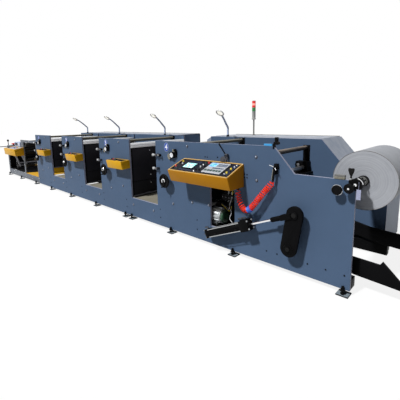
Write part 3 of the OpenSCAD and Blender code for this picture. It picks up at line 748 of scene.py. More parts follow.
# Every finish, under the slot of the record that it belongs to. A colour given by a word is
# one of the settings; a closing dict holds what is given by name.
RECIPES = {
    "wall_paint": {
        "wall_paint": (paint, "wall", 0.5, 0.88, 0.25, (0.3, 0.34, 0.42),
                       dict(wear=0.25, gloss=0.08)),
        # wall_edge: paler paint on the cut edges, partly their bare look and partly a painted
        # highlight.
        "wall_edge": (paint, (0.3, 0.32, 0.43), 0.5, 0.8, 0.1, dict(gloss=0.1)),
        # Lighter blue for the casing end: painted light on a face that the key light misses.
        "end_paint": (paint, (0.125, 0.2, 0.34), 0.5, 0.9, dict(gloss=0.1))},
    "casing_paint": {
        "casing_paint": (paint, "casing", 0.5, 0.9, 0.7, (0.6, 0.6, 0.62), dict(gloss=0.15))},
    "frame_paint": {"frame_paint": (paint, "rewind", 0.45, 0.8, dict(gloss=0.15))},
    "black_steel": {
        "black_steel": (paint, (0.004, 0.004, 0.0045), 0.42, 0.7, 0.04, (0.04, 0.04, 0.04), 0.2,
                        (0.05, 0.05, 0.05), dict(gloss=0.03)),
        "foot_paint": (paint, (0.2, 0.24, 0.27), 0.6, 0.75, 0.05, dict(gloss=0.05)),
        # This near-black finish is painted shade for the dark inside of the frame.
        "lining": (paint, (0.005, 0.005, 0.006), 0.6, 0.7, 0.05, dict(wear=0.0, gloss=0.05))},
    "steel": {
        "steel": (metal, (0.52, 0.53, 0.54), 0.34),
        "wall_bolt": (metal, (0.2, 0.22, 0.27), 0.33),
        "turned_steel": (metal, (0.5, 0.5, 0.5), 0.28, (60, 60, 1600)),
        "dark_steel": (metal, (0.1, 0.1, 0.11), 0.4, dict(smudges=0.25)),
        # brown_bar: the pale beige on its upward faces is a painted highlight along the roller's
        # top.
        "brown_bar": (paint, (0.03, 0.024, 0.02), 0.4, 0.7, 0.5, (0.5, 0.42, 0.36),
                      dict(gloss=0.15)),
        "slate_bar": (paint, (0.16, 0.16, 0.155), 0.45, 0.7, dict(gloss=0.15))},
    "chrome": {"chrome": (metal, (0.82, 0.83, 0.85), 0.12, (500, 500, 500), 0.04, 0.06)},
    "yellow_paint": {
        "yellow_paint": (paint, "yellow", 0.42, 0.86, 0.2, (0.45, 0.33, 0.12), 0.4,
                         (0.7, 0.45, 0.08), dict(gloss=0.12)),
        "knob_yellow": (moulded, (0.8, 0.62, 0.03), 0.35, 0.2, (0.9, 0.8, 0.3))},
    "console_paint": {
        "console_paint": (paint, "console", 0.45, 0.82, 0.1, (0.4, 0.25, 0.05), 0.4,
                          (0.6, 0.3, 0.02), dict(gloss=0.08)),
        "rim_yellow": (paint, (0.6, 0.36, 0.08), 0.45, 0.85, dict(gloss=0.1))},
    "dark_panel": {
        "dark_panel": (moulded, (0.011, 0.011, 0.015), 0.45, 0.2, (0.03, 0.03, 0.04),
                       dict(gloss=0.1)),
        "panel_navy": (moulded, (0.016, 0.02, 0.04), 0.36, 0.3, (0.04, 0.05, 0.08),
                       dict(gloss=0.12)),
        "key_slate": (moulded, (0.06, 0.09, 0.15), 0.4, 0.2),
        "key_green": (moulded, (0.012, 0.05, 0.04), 0.4, 0.2),
        "teal_tab": (moulded, (0.05, 0.3, 0.62), 0.4, 0.15, (0.2, 0.5, 0.8), dict(gloss=0.2)),
        "screen_teal": (display, (0.16, 0.55, 0.55), (0.75, 0.9, 0.88)),
        "screen_blue": (display, (0.04, 0.3, 0.85), (0.3, 0.6, 0.95), 0.03, 0.003)},
    "printing_plate": {"printing_plate": (moulded, (0.3, 0.06, 0.045), 0.55)},
    "light_cover": {
        "light_cover": (metal, (0.72, 0.74, 0.76), 0.5, (90, 900, 90), 0.1),
        "white_print": (moulded, (0.78, 0.8, 0.84), 0.45, 0.15, (0.6, 0.6, 0.6)),
        "white_plastic": (moulded, (0.62, 0.63, 0.66), 0.4, 0.2, (0.5, 0.5, 0.5)),
        "key_grey": (moulded, (0.42, 0.44, 0.47), 0.4, 0.2, (0.3, 0.3, 0.3)),
        "tag_white": (moulded, (0.3, 0.32, 0.45), 0.6, 0.2, (0.4, 0.4, 0.5))},
    "pan_paint": {
        "pan_paint": (paint, (0.2, 0.19, 0.155), 0.55, 0.7, 0.3, (0.3, 0.27, 0.2),
                      dict(gloss=0.1)),
        "beige_bar": (paint, (0.25, 0.235, 0.185), 0.45, 0.75, dict(wear=0.3, gloss=0.15))},
    "black_plastic": {
        "black_plastic": (moulded, (0.004, 0.004, 0.0045), 0.45, 0.2, (0.02, 0.02, 0.022),
                          dict(gloss=0.05)),
        "rubber": (moulded, (0.007, 0.007, 0.007), 0.62, 0.3, (0.03, 0.03, 0.03), 0.003,
                   dict(gloss=0.1)),
        "badge_blue": (moulded, "badge", 0.35, 0.1, (0.05, 0.1, 0.5))},
    "motor_alloy": {
        "motor_alloy": (metal, (0.5, 0.52, 0.53), 0.42, (90, 90, 90), 0.3, 0.25, 0.2),
        "motor_green": (paint, (0.022, 0.075, 0.038), 0.4, 0.7)},
    "paper": {
        "paper": (wound, "paper", 0.011, 0.3),
        "core_board": (moulded, (0.05, 0.04, 0.034), 0.8, 0.6, (0.2, 0.15, 0.1)),
        "outer_wrap": (moulded, (0.13, 0.12, 0.105), 0.8, 0.4, (0.2, 0.17, 0.13))},
    "lamp_metal": {
        "lamp_metal": (paint, (0.42, 0.5, 0.68), 0.4, 0.85, 0.1, dict(wear=0.2, gloss=0.15)),
        "lamp_pale": (paint, (0.86, 0.86, 0.86), 0.4, 0.95, dict(wear=0.1)),
        "lamp_lens": (lens, (0.88, 0.88, 0.8), 0.8)},
    "signal_plastic": {
        "signal_plastic": (moulded, (0.34, 0.34, 0.33), 0.4, 0.2, (0.5, 0.5, 0.5)),
        "signal_red": (lens, (0.62, 0.01, 0.01), 0.35),
        "signal_lit": (lens, (0.85, 0.3, 0.26), 0.6),
        "signal_green": (lens, (0.02, 0.22, 0.05), 0.05)},
    "hose_red": {
        "hose_red": (moulded, "hose", 0.35, 0.15, (0.9, 0.15, 0.03), 0.004, 0.1, 0.2),
        "hose_blue": (moulded, (0.03, 0.11, 0.5), 0.35, 0.15, (0.1, 0.3, 0.8)),
        "knob_red": (moulded, (0.6, 0.015, 0.02), 0.3, 0.2, (0.8, 0.1, 0.1))},
}
SLOTS = {name: slot for slot, family in RECIPES.items() for name in family}


def finish(name):
    """The material of that name, made the first time that it is asked for."""
    if name not in FINISHES:
        make, tone, *rest = RECIPES[SLOTS[name]][name]
        named = rest.pop() if isinstance(rest[-1], dict) else {}
        if isinstance(tone, str):
            tone = getattr(bpy.context.scene.press_colours, tone)
        FINISHES[name] = make(name, tone, *rest, **named)
    return FINISHES[name]


# ---------------------------------------------------------------- repeated pieces


def grown(name, bm, kind, material, body=PRESS, slot=None, smooth=34, **inputs):
    """A piece made by one of the shape trees from the shape in bm, as a plain mesh."""
    if kind != "pipe":
        bmesh.ops.recalc_face_normals(bm, faces=bm.faces)
    if kind != "scatter":
        move(bm, FOOT)
    mesh = as_mesh(name, bm)
    if mesh.polygons:
        soften(mesh, smooth)
    obj = link_object(name, mesh)
    modifier = obj.modifiers.new(kind, "NODES")
    modifier.node_group = tree_of(kind)
    inputs["Material"] = finish(material)
    if "Centre" in inputs:
        inputs["Centre"] = FOOT + Vector(inputs["Centre"])
    for item in modifier.node_group.interface.items_tree:
        if item.item_type == "SOCKET" and item.in_out == "INPUT" and item.name in inputs:
            modifier[item.identifier] = inputs[item.name]
    obj.update_tag()
    ready = obj.evaluated_get(bpy.context.evaluated_depsgraph_get())
    plain = bpy.data.meshes.new_from_object(ready)
    obj.modifiers.remove(modifier)
    obj.data = plain
    plain.name = name
    bpy.data.meshes.remove(mesh)
    return settle(obj, material, body, (), slot)


def fasteners(name, places, head, material, body=PRESS):
    """The head shape set at each (point, outward direction)."""
    mesh = bpy.data.meshes.new("places")
    mesh.from_pydata([FOOT + Vector(p) for p, _ in places], [], [])
    turn = mesh.attributes.new("turn", "FLOAT_VECTOR", "POINT")
    for k, (_, way) in enumerate(places):
        turn.data[k].vector = Vector(way).to_track_quat("Z", "Y").to_euler()
    points = link_object("places", mesh)
    grown(name, head, "scatter", material, body, smooth=30, Places=points, Size=1.0,
          Spin=math.tau, Seed=7)
    bpy.data.objects.remove(points)


def washer_under(wide, inner, thick, bevel):
    return [(ring, (0, 0, 0), UP, inner, wide / 2, thick, 20, bevel)] if wide else []


def cap_head(width, height, washer=0.0):
    """A socket cap screw: washer, chamfered head and a round recess."""
    r, c = width / 2, width * 0.07
    profile = [(r, 0), (r, height - c), (r - c, height), (r * 0.52, height),
               (r * 0.48, height * 0.55), (0, height * 0.5)]
    return shapes(*washer_under(washer, r * 0.5, height * 0.16, height * 0.04),
                  (lathe, (0, 0, 0), UP, profile, 18))


def hex_head(width, height, washer=0.0):
    """A hexagon head with a washer and a domed top."""
    r = width / 2
    return shapes(*washer_under(washer, r * 0.5, height * 0.2, height * 0.04),
                  (lathe, (0, 0, 0), UP, [(r, 0), (r, height * 0.86), (r * 0.86, height)], 6),
                  (lathe, (0, 0, height * 0.9), UP, [(r * 0.4, 0), (r * 0.36, height * 0.3)], 10))


def dome_head(width, height):
    """A round bright head."""
    r = width / 2
    steps = [(r * math.cos(a * math.pi / 12), height * (0.2 + 0.8 * math.sin(a * math.pi / 12)))
             for a in range(6)]
    return shape(lathe, (0, 0, 0), UP, [(r, 0)] + steps + [(0, height)], 18)


# ---------------------------------------------------------------- operators


class PRESS_OT_stage(bpy.types.Operator):
    """Camera, floor, key light and fill"""

    bl_idname = "press.stage"
    bl_label = "Stage"

    def execute(self, context):
        stage, scene = context.scene.press_stage, context.scene
        scene.view_settings.view_transform = "Standard"
        camera = bpy.data.cameras.new("Camera")
        camera.lens, camera.sensor_width = stage.lens * 1000, 36
        camera.shift_x, camera.shift_y = -0.00145, -0.08075
        camera.clip_end = 200
        scene.camera = link_object("Camera", camera)
        yaw, dip, roll = math.radians(43.677), math.radians(8.829), math.radians(1.163)
        ahead = Vector((-math.sin(yaw) * math.cos(dip), math.cos(yaw) * math.cos(dip),
                        -math.sin(dip)))
        right = Quaternion(ahead, roll) @ Vector((math.cos(yaw), math.sin(yaw), 0))
        turn = Matrix((right, right.cross(ahead), -ahead)).transposed().to_4x4()
        eye = FOOT + Vector((9.3197, -2.9755, 1.7519))
        scene.camera.matrix_world = Matrix.Translation(eye) @ turn

        lamp = bpy.data.lights.new("Key", "SUN")
        lamp.energy, lamp.angle = stage.sun, math.radians(4)
        from_where = Vector((-0.22, -1, 1.25))
        key = link_object("Key", lamp)
        key.rotation_euler = from_where.to_track_quat("Z", "Y").to_euler()

        scene.world = bpy.data.worlds.new("Room")
        scene.world.use_nodes = True
        net = Net(scene.world.node_tree)
        room = net.tree.nodes["Background"].inputs
        net.feed(room["Strength"], net.span(self.seen(net), 0, 1, stage.sky, 1.0))
        room["Color"].default_value = grey(1)
        self.floor()
        return {"FINISHED"}

    def seen(self, net):
        """1 for camera, glossy and transmission rays."""
        path = net.add("ShaderNodeLightPath").outputs
        both = net.maths("MAXIMUM", path["Is Camera Ray"], path["Is Glossy Ray"])
        return net.maths("MAXIMUM", both, path["Is Transmission Ray"])

    def floor(self):
        bm = bmesh.new()
        bmesh.ops.create_grid(bm, x_segments=1, y_segments=1, size=60)
        ground = link_object("floor", as_mesh("floor", bm))
        material = bpy.data.materials.new("floor")
        material.use_nodes = True
        net = Net(material.node_tree)
        shader = net.tree.nodes["Principled BSDF"]
        shader.inputs["Base Color"].default_value = grey(0.5)
        shader.inputs["Roughness"].default_value = 0.9
        white = net.add("ShaderNodeEmission", {"Color": grey(1), "Strength": 1.15})
        mix = net.add("ShaderNodeMixShader", {
            0: net.times(self.seen(net), 0.75), 1: shader.outputs[0], 2: white.outputs[0]})
        net.feed(net.tree.nodes["Material Output"].inputs["Surface"], mix.outputs[0])
        ground.data.materials.append(material)


# The air hose's route below the console, in metres from the fourth tower's edge
HOSE_ROUTE = [
    (1.690, -0.080, 0.912), (1.690, -0.080, 0.880), (1.700, -0.086, 0.845),
    (1.714, -0.092, 0.808), (1.732, -0.098, 0.772), (1.755, -0.102, 0.738),
    (1.783, -0.105, 0.706), (1.818, -0.106, 0.688), (1.852, -0.105, 0.696),
    (1.884, -0.102, 0.722), (1.916, -0.099, 0.758), (1.950, -0.095, 0.802),
    (1.985, -0.090, 0.850), (2.020, -0.084, 0.898), (2.056, -0.076, 0.946),
    (2.092, -0.066, 0.992), (2.122, -0.058, 1.030), (2.140, -0.054, 1.052),
    (2.146, -0.054, 1.066)]
HOSE_COIL = 0.030
GUN = unit(3, *HOSE_ROUTE[-1])


class PRESS_OT_air_hose(bpy.types.Operator):
    """Coiled air hose from the console's gland to the blow gun, with the gun"""

    bl_idname = "press.air_hose"
    bl_label = "Air hose and gun"

    def execute(self, context):
        sizes = context.scene.press_sizes
        middle = smooth_line([Vector(p) + unit(3, 0, 0, 0) for p in HOSE_ROUTE], 0.002)
        gun = self.gun()
        line = self.coil(middle, sizes.coil_pitch)
        hose = build("air_hose_coil", "hose_red", (sweep, line, sizes.hose_tube / 2, 8),
                     replaces=["air_hose"], smooth=60)
        long = sum((b - a).length for a, b in zip(line, line[1:]))
        [self.wrap(middle)] + gun
        return {"FINISHED"}

    def coil(self, middle, pitch):
        """The tube's own line: a short straight lead, then turns round the middle line."""
        lead, turn_steps = 0.03, 16
        spots = [0.0]
        for a, b in zip(middle, middle[1:]):
            spots.append(spots[-1] + (b - a).length)
        total, sides = spots[-1], frames(middle)
        line, along, angle, k = [], 0.0, 0.0, 0
        while along < total:
            while k < len(middle) - 2 and spots[k + 1] < along:
                k += 1
            t = (along - spots[k]) / (spots[k + 1] - spots[k])
            _, u, v = sides[k]
            here = middle[k].lerp(middle[k + 1], t)
            ease = min(1.0, along / lead, (total - along) / lead)
            wide = HOSE_COIL * math.sin(ease * math.pi / 2)
            line.append(here + wide * (math.cos(angle) * u + math.sin(angle) * v))
            loose = 1 - min(1.0, max(0.0, (along / total - 0.16) / 0.12))
            step = pitch * (1.0 + 0.4 * loose + 0.28 * math.sin(along * 45))
            angle += math.tau / turn_steps
            along += step / turn_steps
        return line + [middle[-1] + Vector((0, 0, 0.015 * k)) for k in range(7)]

    def wrap(self, middle):
        """The blue sleeve round the turns at the lowest bend."""
        low = min(range(len(middle)), key=lambda k: middle[k].z)
        points = middle[low + 14:low + 40]
        radii = [0.0392 + 0.0012 * math.sin(k * 1.1) for k in range(len(points))]
        radii[0] = radii[-1] = 0.037
        return build("hose_sleeve", "hose_blue", (sweep, points, radii, 24), smooth=50)

    def gun(self):
        """Black gun with a pale strip that paints a highlight down the barrel, chrome nozzle and
        lever, and its holder on the wall.
        """
        x, y, _ = GUN
        lean = tilted(GUN, 7, "Y")
        barrel = build(
            "blow_gun_body", "black_plastic",
            (lathe, GUN, upright(lean),
             [(0.0075, 0), (0.009, 0.002), (0.009, 0.016), (0.0125, 0.018), (0.0135, 0.03),
              (0.0135, 0.135), (0.011, 0.145), (0.008, 0.15)], 20),
            (block, (-0.012, -0.016, 0.14), (0.014, 0.013, 0.185), 0.004, lean),
            replaces=["blow_gun"])
        # The pale strip beside the black barrel is a painted highlight.
        strip = build("blow_gun_strip", "beige_bar",
                      (slab, (-0.0175, -0.012, 0.02), (-0.0095, 0.006, 0.145), 0.002, lean),
                      slot="light_cover")
        bars = (((0, -0.01, 0.172), (-0.052, -0.03, 0.186), 0.0045),
                ((0.008, -0.01, 0.165), (0.034, -0.026, 0.145), 0.005))
        head = build("blow_gun_nozzle", "chrome",
                     *((rod, lean @ Vector(a), lean @ Vector(b), r, 10) for a, b, r in bars))
        build("hose_holder", "black_plastic",
              (block, (x + 0.002, y + 0.014, 1.205), (x + 0.044, 0, 1.27), 0.003),
              (slab, (x - 0.008, y + 0.012, 1.15), (x + 0.03, 0, 1.206), 0.002),
              (lathe, unit(3, *HOSE_ROUTE[0]), UP,
               [(0.006, 0), (0.010, 0.001), (0.0125, 0.006), (0.0165, 0.007), (0.0165, 0.015),
                (0.02, 0.016), (0.02, 0.026)], 6), replaces=["hose_fittings"])
        return [barrel, strip, head]


class PRESS_OT_walls(bpy.types.Operator):
    """Paint of the side walls, and the plates inside the frame"""

    bl_idname = "press.walls"
    bl_label = "Walls and casings"

    def execute(self, context):
        for wall in ("front_wall_units", "front_wall_unwind", "rear_wall_units",
                     "rear_wall_unwind"):
            # Faces that look neither front nor back, the plates' cut edges, take the paler
            # wall_edge paint: partly bare cut edge, partly a painted highlight.
            for face in coat(wall, "wall_paint", "wall_edge").polygons:
                face.material_index = int(abs(face.normal.y) < 0.5)
        coat("base_ties", "black_steel")
        carry("drip_pans", "pan_paint", bevel=0.002)
        carry("guard_plates", "yellow_paint", bevel=0.002)
        carry("base_rails", "black_steel", bevel=0.003)
        lips = []
        for i in range(3):
            x0, x1 = i * PITCH + TOWER - 0.005, (i + 1) * PITCH
            for y0, y1 in ((FRONT_IN, FRONT_IN + 0.012), (REAR_IN - 0.012, REAR_IN)):
                lips.append((slab, (x0 + 0.002, y0 + 0.0005, 0.3902),
                             (x1 - 0.002, y1 - 0.0005, 0.408)))
            drain = (x0 + x1) / 2
            lips.append((rod, (drain, 0.6, 0.33), (drain, 0.6, 0.3779), 0.02))
        build("pan_lips", "pan_paint", *lips)
        return {"FINISHED"}


def on_wall(spots, lift=0.0):
    """Places on the front wall's face for fasteners, from (x, z) pairs."""
    return [((x, -lift, z), OUT) for x, z in spots]


class PRESS_OT_wall_bolts(bpy.types.Operator):
    """Bright round heads and small screws on the side walls"""

    bl_idname = "press.wall_bolts"
    bl_label = "Wall bolts"

    def execute(self, context):
        wide, thick = context.scene.press_sizes.bolt_head, 0.004
        spots = []
        for i in range(4):
            own = [(0.385, 0.49), (0.81, 0.585), (0.73, 1.40)]
            own += [(-0.71, 0.28), (-0.12, 0.28)] if i else []
            spots += [(i * PITCH + x, z) for x, z in own]
        spots += [(UNIT4 + x, z) for x, z in ((1.135, 0.603), (1.892, 1.323), (1.901, 1.045))]
        fasteners("wall_bolt_washers", on_wall(spots),
                  shape(ring, (0, 0, 0), UP, wide * 0.2, wide * 0.72, thick, 24), "dark_steel")
        fasteners("wall_bolt_heads", on_wall(spots, thick), dome_head(wide, wide * 0.5),
                  "wall_bolt")
        small = [(2.049, 0.208), (2.187, 0.21), (2.552, 0.209), (2.746, 0.209), (2.93, 0.209),
                 (1.73, 1.10), (1.73, 1.062), (1.765, 1.10), (1.765, 1.062), (1.30, 1.28),
                 (1.08, 1.27), (1.12, 1.27)]
        holes = [(UNIT4 + x, z) for x, z in small]
        holes += [(i * PITCH + x, z) for i in range(4)
                  for x, z in ((0.06, 0.2), (0.9, 0.2), (0.06, 0.34), (0.9, 0.34))]
        fasteners("wall_screws", on_wall(holes), cap_head(0.016, 0.006), "black_steel")
        return {"FINISHED"}


class PRESS_OT_badges(bpy.types.Operator):
    """Oval badges with the unit numbers 1 to 4"""

    bl_idname = "press.badges"
    bl_label = "Unit numbers"

    def execute(self, context):
        high = context.scene.press_sizes.badge_height
        plates, rims, numbers = bmesh.new(), bmesh.new(), bmesh.new()
        plate = [(0.46, 0), (0.46, 0.002), (0.452, 0.0026), (0, 0.0026)]
        rim = [(0.46, 0), (0.485, 0), (0.485, 0.0024), (0.48, 0.003), (0.465, 0.003)]
        for i in range(4):
            centre = unit(i, 0.27, 0, 1.365)
            oval = Matrix.Translation(centre) @ Matrix.Diagonal((0.77, 1, 1, 1))
            for bm, outline in ((plates, plate), (rims, rim)):
                profile = [(high * r, along) for r, along in outline]
                self.join(bm, shape(lathe, (0, 0, 0), OUT, profile, 48, bm is rims), oval)
            self.join(numbers, self.digit(str(i + 1), high * 0.78),
                      Matrix.Translation(centre + Vector((0, -0.0024, 0))))
        piece("badge_plates", plates, "badge_blue")
        piece("badge_rims", rims, "key_grey")
        piece("badge_numbers", numbers, "white_print")
        return {"FINISHED"}

    def join(self, bm, own, place):
        bmesh.ops.transform(own, matrix=place, verts=own.verts)
        mesh = as_mesh("part", own)
        bm.from_mesh(mesh)
        bpy.data.meshes.remove(mesh)

    def digit(self, text, size):
        """A raised numeral in the XZ plane, facing the operator, about its middle."""
        curve = bpy.data.curves.new("numeral", "FONT")
        curve.body, curve.size, curve.extrude = text, size, 0.0008
        curve.offset = size * 0.025
        curve.align_x, curve.align_y = "CENTER", "CENTER"
        obj = link_object("numeral", curve)
        ready = obj.evaluated_get(bpy.context.evaluated_depsgraph_get())
        mesh = bpy.data.meshes.new_from_object(ready)
        own = bmesh.new()
        own.from_mesh(mesh)
        bmesh.ops.remove_doubles(own, verts=own.verts, dist=0.00001)
        bmesh.ops.rotate(own, verts=own.verts, cent=(0, 0, 0),
                         matrix=Matrix.Rotation(math.radians(90), 3, "X"))
        bpy.data.objects.remove(obj)
        bpy.data.meshes.remove(mesh)
        return own


class PRESS_OT_rollers(bpy.types.Operator):
    """Print cylinders, guide rollers and the brackets that carry them"""

    bl_idname = "press.rollers"
    bl_label = "Rollers"

    def execute(self, context):
        carry("impression_cylinders", "turned_steel")
        carry("plate_cylinders", "printing_plate")
        carry("anilox_rollers", "dark_steel")
        carry("guide_rollers", "turned_steel", bevel=0.001)
        self.web_bay()
        carry("roller_brackets", "black_steel", bevel=0.002)
        rollers, bars = [], []
        z = TOP - 0.048
        for i in range(4):
            x = i * PITCH + 0.725
            rollers += [(rod, (x, FRONT_IN + 0.012, z), (x, REAR_IN - 0.012, z), 0.026, 40),
                        (rod, (x, FRONT_IN, z), (x, REAR_IN, z), 0.015, 20)]
            bars += [(slab, (x - 0.09, FRONT_IN, z - 0.02), (x - 0.06, REAR_IN, z + 0.02), 0.003)]
            bars += [(ring, (x, y, z), IN, 0.016, 0.028, 0.011, 28)
                     for y in (FRONT_IN, REAR_IN - 0.012)]
        build("top_roller_tubes", "beige_bar", *rollers, replaces=["top_rollers"])
        build("top_bars", "black_steel", *bars)
        return {"FINISHED"}

    def web_bay(self):
        """The dark drive block, its round cap and the plates behind the slope."""
        x, z, back = END - 1.15, 1.087, END - 1.095
        build("web_bay_block", "black_steel",
              (block, (x - 0.05, 1.22, 0.99), (x + 0.13, REAR_IN, 1.135), 0.006),
              (ring, (x, 1.198, z), IN, 0.024, 0.046, 0.024, 40),
              (slab, (x - 0.22, FRONT_IN + 0.3, 0.955), (x + 0.17, REAR_IN, 0.99), 0.002))
        build("web_bay_cap", "steel", (rod, (x, 1.21, z), (x, 1.202, z), 0.022, 32))
        build("web_bay_roller", "brown_bar",
              (rod, (back, FRONT_IN + 0.013, 1.33), (back, REAR_IN - 0.013, 1.33), 0.0315, 40))


class PRESS_OT_window_covers(bpy.types.Operator):
    """Dark covers behind the windows, with their light beams, seams and hinges"""

    bl_idname = "press.window_covers"
    bl_label = "Window covers"

    def execute(self, context):
        carry("ink_covers", "dark_panel", bevel=0.002)
        carry("cover_beams", "light_cover", bevel=0.004)
        strips, feet, beams, spots = [], [], [], []
        for i in range(3):
            x, low = i * PITCH + TOWER - 0.005, 0.41 if i else 0.6
            seam = low + (1.3 - low) * 0.3
            strips += [(slab, (x, FRONT_IN + 0.03, z), (x + 0.004, REAR_IN - 0.03, z + 0.008),
                        0.001) for z in (seam, 1.285)]
            strips += [(slab, (x, y, low + 0.02), (x + 0.006, y + 0.03, 1.29), 0.0015)
                       for y in (FRONT_IN + 0.004, REAR_IN - 0.034)]
            feet += [(slab, (x, FRONT_IN + 0.02, low), (x + 0.014, REAR_IN - 0.02, low + 0.022),
                      0.003)]
            feet += [(rod, (x + 0.016, y - 0.05, low + 0.024), (x + 0.016, y + 0.05, low + 0.024),
                      0.009, 14) for y in (0.35, 0.7, 1.05)]
            spots += [((x, y, z), ALONG) for y in (0.45, 0.92)
                      for z in (1.23, seam + 0.09, seam - 0.06)]
            beams += [(slab, (x + 0.0052, FRONT_IN + 0.01, 1.345),
                       (x + 0.0078, REAR_IN - 0.01, 1.349), 0.0008)]
        build("cover_strips", "black_steel", *strips, slot="dark_panel")
        build("cover_feet", "dark_steel", *feet)
        build("beam_grooves", "dark_steel", *beams)
        fasteners("cover_screws", spots, cap_head(0.014, 0.005, 0.022), "steel")
        return {"FINISHED"}


class PRESS_OT_handwheels(bpy.types.Operator):
    """Adjusting handwheels with dished webs and grips, one on each handwheel body"""

    bl_idname = "press.handwheels"
    bl_label = "Handwheels"

    def execute(self, context):
        for i in range(4):
            body = f"handwheel_{i + 1}"
            x, z, y = i * PITCH + 0.3, 0.855, side(body, 0, 1) + 0.062
            spoke = [(0.026, -0.010), (0.09, -0.0065), (0.09, 0.0065), (0.026, 0.010)]
            build(f"{body}_rim", "black_plastic",
                  (torus, (x, y, z), OUT, 0.097, 0.013),
                  *((prism, spoke, "Y", -0.006, 0.007, 0.002, tilted((x, y, z), turn, "Y"), 2)
                    for turn in (0, 90, 180, 270)),
                  (ring, (x, y + 0.009, z), OUT, 0.03, 0.088, 0.005),
                  (lathe, (x, y + 0.015, z), OUT,
                   [(0, 0), (0.032, 0), (0.034, 0.003), (0.034, 0.02), (0.03, 0.028),
                    (0.024, 0.031), (0, 0.031)], 40),
                  (rod, (x, 0.038, z), (x, y + 0.014, z), 0.012, 24),
                  body=body, replaces=[body], smooth=40)
            curl = [Vector((x + 0.032 * math.cos(k / 4), y - 0.018, z + 0.032 * math.sin(k / 4)))
                    for k in range(-1, 17)]
            build(f"{body}_clip", "chrome", (sweep, curl, 0.0075, 10), body=body)
            build(f"{body}_grip", "rubber",
                  (lathe, (x, y - 0.008, z - 0.088), OUT,
                   [(0, 0), (0.0085, 0), (0.0085, 0.02), (0.0105, 0.025), (0.011, 0.04),
                    (0.0095, 0.048), (0.006, 0.0535), (0, 0.054)], 24), body=body, smooth=45)
        return {"FINISHED"}


class PRESS_OT_dials(bpy.types.Operator):
    """Register dials with white faces, flaps and their little knobs"""

    bl_idname = "press.dials"
    bl_label = "Register dials"

    def execute(self, context):
        black, faces, flaps, marks = [], [], [], []
        z = 1.257
        middles = [i * PITCH + (0.32, 0.32, 0.32, 0.43)[i] for i in range(4)]
        case = [(0, -0.016), (0.02, -0.016), (0.02, 0), (0.047, 0), (0.05, 0.003), (0.05, 0.032),
                (0.047, 0.036), (0.043, 0.036), (0.04, 0.033), (0.04, 0.026), (0, 0.026)]
        flap = [(-0.046, 0.03), (-0.098, 0.012), (-0.112, -0.03), (-0.075, -0.078),
                (-0.03, -0.045)]
        for x in middles:
            black += [
                (lathe, (x, -0.016, z), OUT, case, 48),
                (rod, (x + 0.07, -0.012, z + 0.078), (x + 0.07, -0.05, z + 0.078), 0.017, 24),
                (slab, (x + 0.056, -0.03, z - 0.03), (x + 0.082, 0, z + 0.062), 0.004),
                (slab, (x - 0.095, -0.024, z - 0.04), (x + 0.056, -0.008, z - 0.02), 0.002)]
            faces += [(rod, (x, -0.0425, z), (x, -0.0455, z), 0.0395, 40, 0.0008)]
            flaps += [(prism, flap, "Y", -0.030, -0.024, 0.0015, Matrix.Translation((x, 0, z))),
                      (slab, (x + 0.012, -0.034, z + 0.048), (x + 0.062, -0.012, z + 0.088),
                       0.003)]
            marks += [(slab, (x - 0.0015, -0.0466, z), (x + 0.0015, -0.0454, z + 0.03), 0.0004),
                      (rod, (x, -0.0454, z), (x, -0.0475, z), 0.005, 16, 0.0006)]
        build("dial_cases", "black_plastic", *black, replaces=["pressure_dials"])
        build("dial_faces", "white_print", *faces)
        build("dial_flaps", "beige_bar", *flaps)
        build("dial_pointers", "black_steel", *marks, slot="black_plastic")
        for i, x in enumerate(middles):
            tick = shape(slab, (-0.0008, -0.0464, 0.030), (0.0008, -0.0456, 0.036), 0.0)
            move(tick, (x, 0, z))
            grown(f"dial_scale_{i + 1}", tick, "ring", "black_steel", slot="black_plastic",
                  Count=20, Centre=(x, 0, z), Axis=IN)
        return {"FINISHED"}


class PRESS_OT_clamp_screws(bpy.types.Operator):
    """Chrome knurled caps and black knobs at the window side of each tower"""

    bl_idname = "press.clamp_screws"
    bl_label = "Clamp screws"

    def execute(self, context):
        caps, blocks, knobs = [], [], []
        y, rows = -0.04, ((1.236, 0.14), (1.02, 0.05))
        for i in range(4):
            x = i * PITCH
            for z, reach in rows:
                caps += [(lathe, (x - 0.028, y, z), ALONG,
                          [(0, 0), (0.018, 0), (0.021, 0.003), (0.021, 0.03), (0.016, 0.034),
                           (0.016, 0.048), (0, 0.048)], 20),
                         (rod, (x + 0.02, y, z), (x + reach, y, z), 0.009, 16)]
                blocks += [(block, (x + 0.048, -0.062, z - 0.02), (x + 0.09, 0, z + 0.02),
                            0.003)]
            knobs += [(lathe, (x + 0.138, y, rows[0][0]), ALONG,
                       [(0, 0), (0.012, 0), (0.022, 0.006), (0.024, 0.01), (0.024, 0.024),
                        (0.02, 0.031), (0, 0.032)], 24)]
        build("clamp_caps", "steel", *caps, replaces=["clamp_screws"], slot="chrome")
        build("clamp_blocks", "dark_steel", *blocks)
        build("clamp_knobs", "black_plastic", *knobs)
        for i in range(4):
            for n, (z, _) in enumerate(rows):
                x = i * PITCH
                tooth = shape(slab, (-0.024, -0.0625, -0.0012), (0, -0.0605, 0.0012), 0.0)
                move(tooth, (x, 0, z))
                grown(f"clamp_knurl_{i + 1}_{n + 1}", tooth, "ring", "steel", Count=20,
                      Centre=(x, y, z), Axis=ALONG)
        return {"FINISHED"}


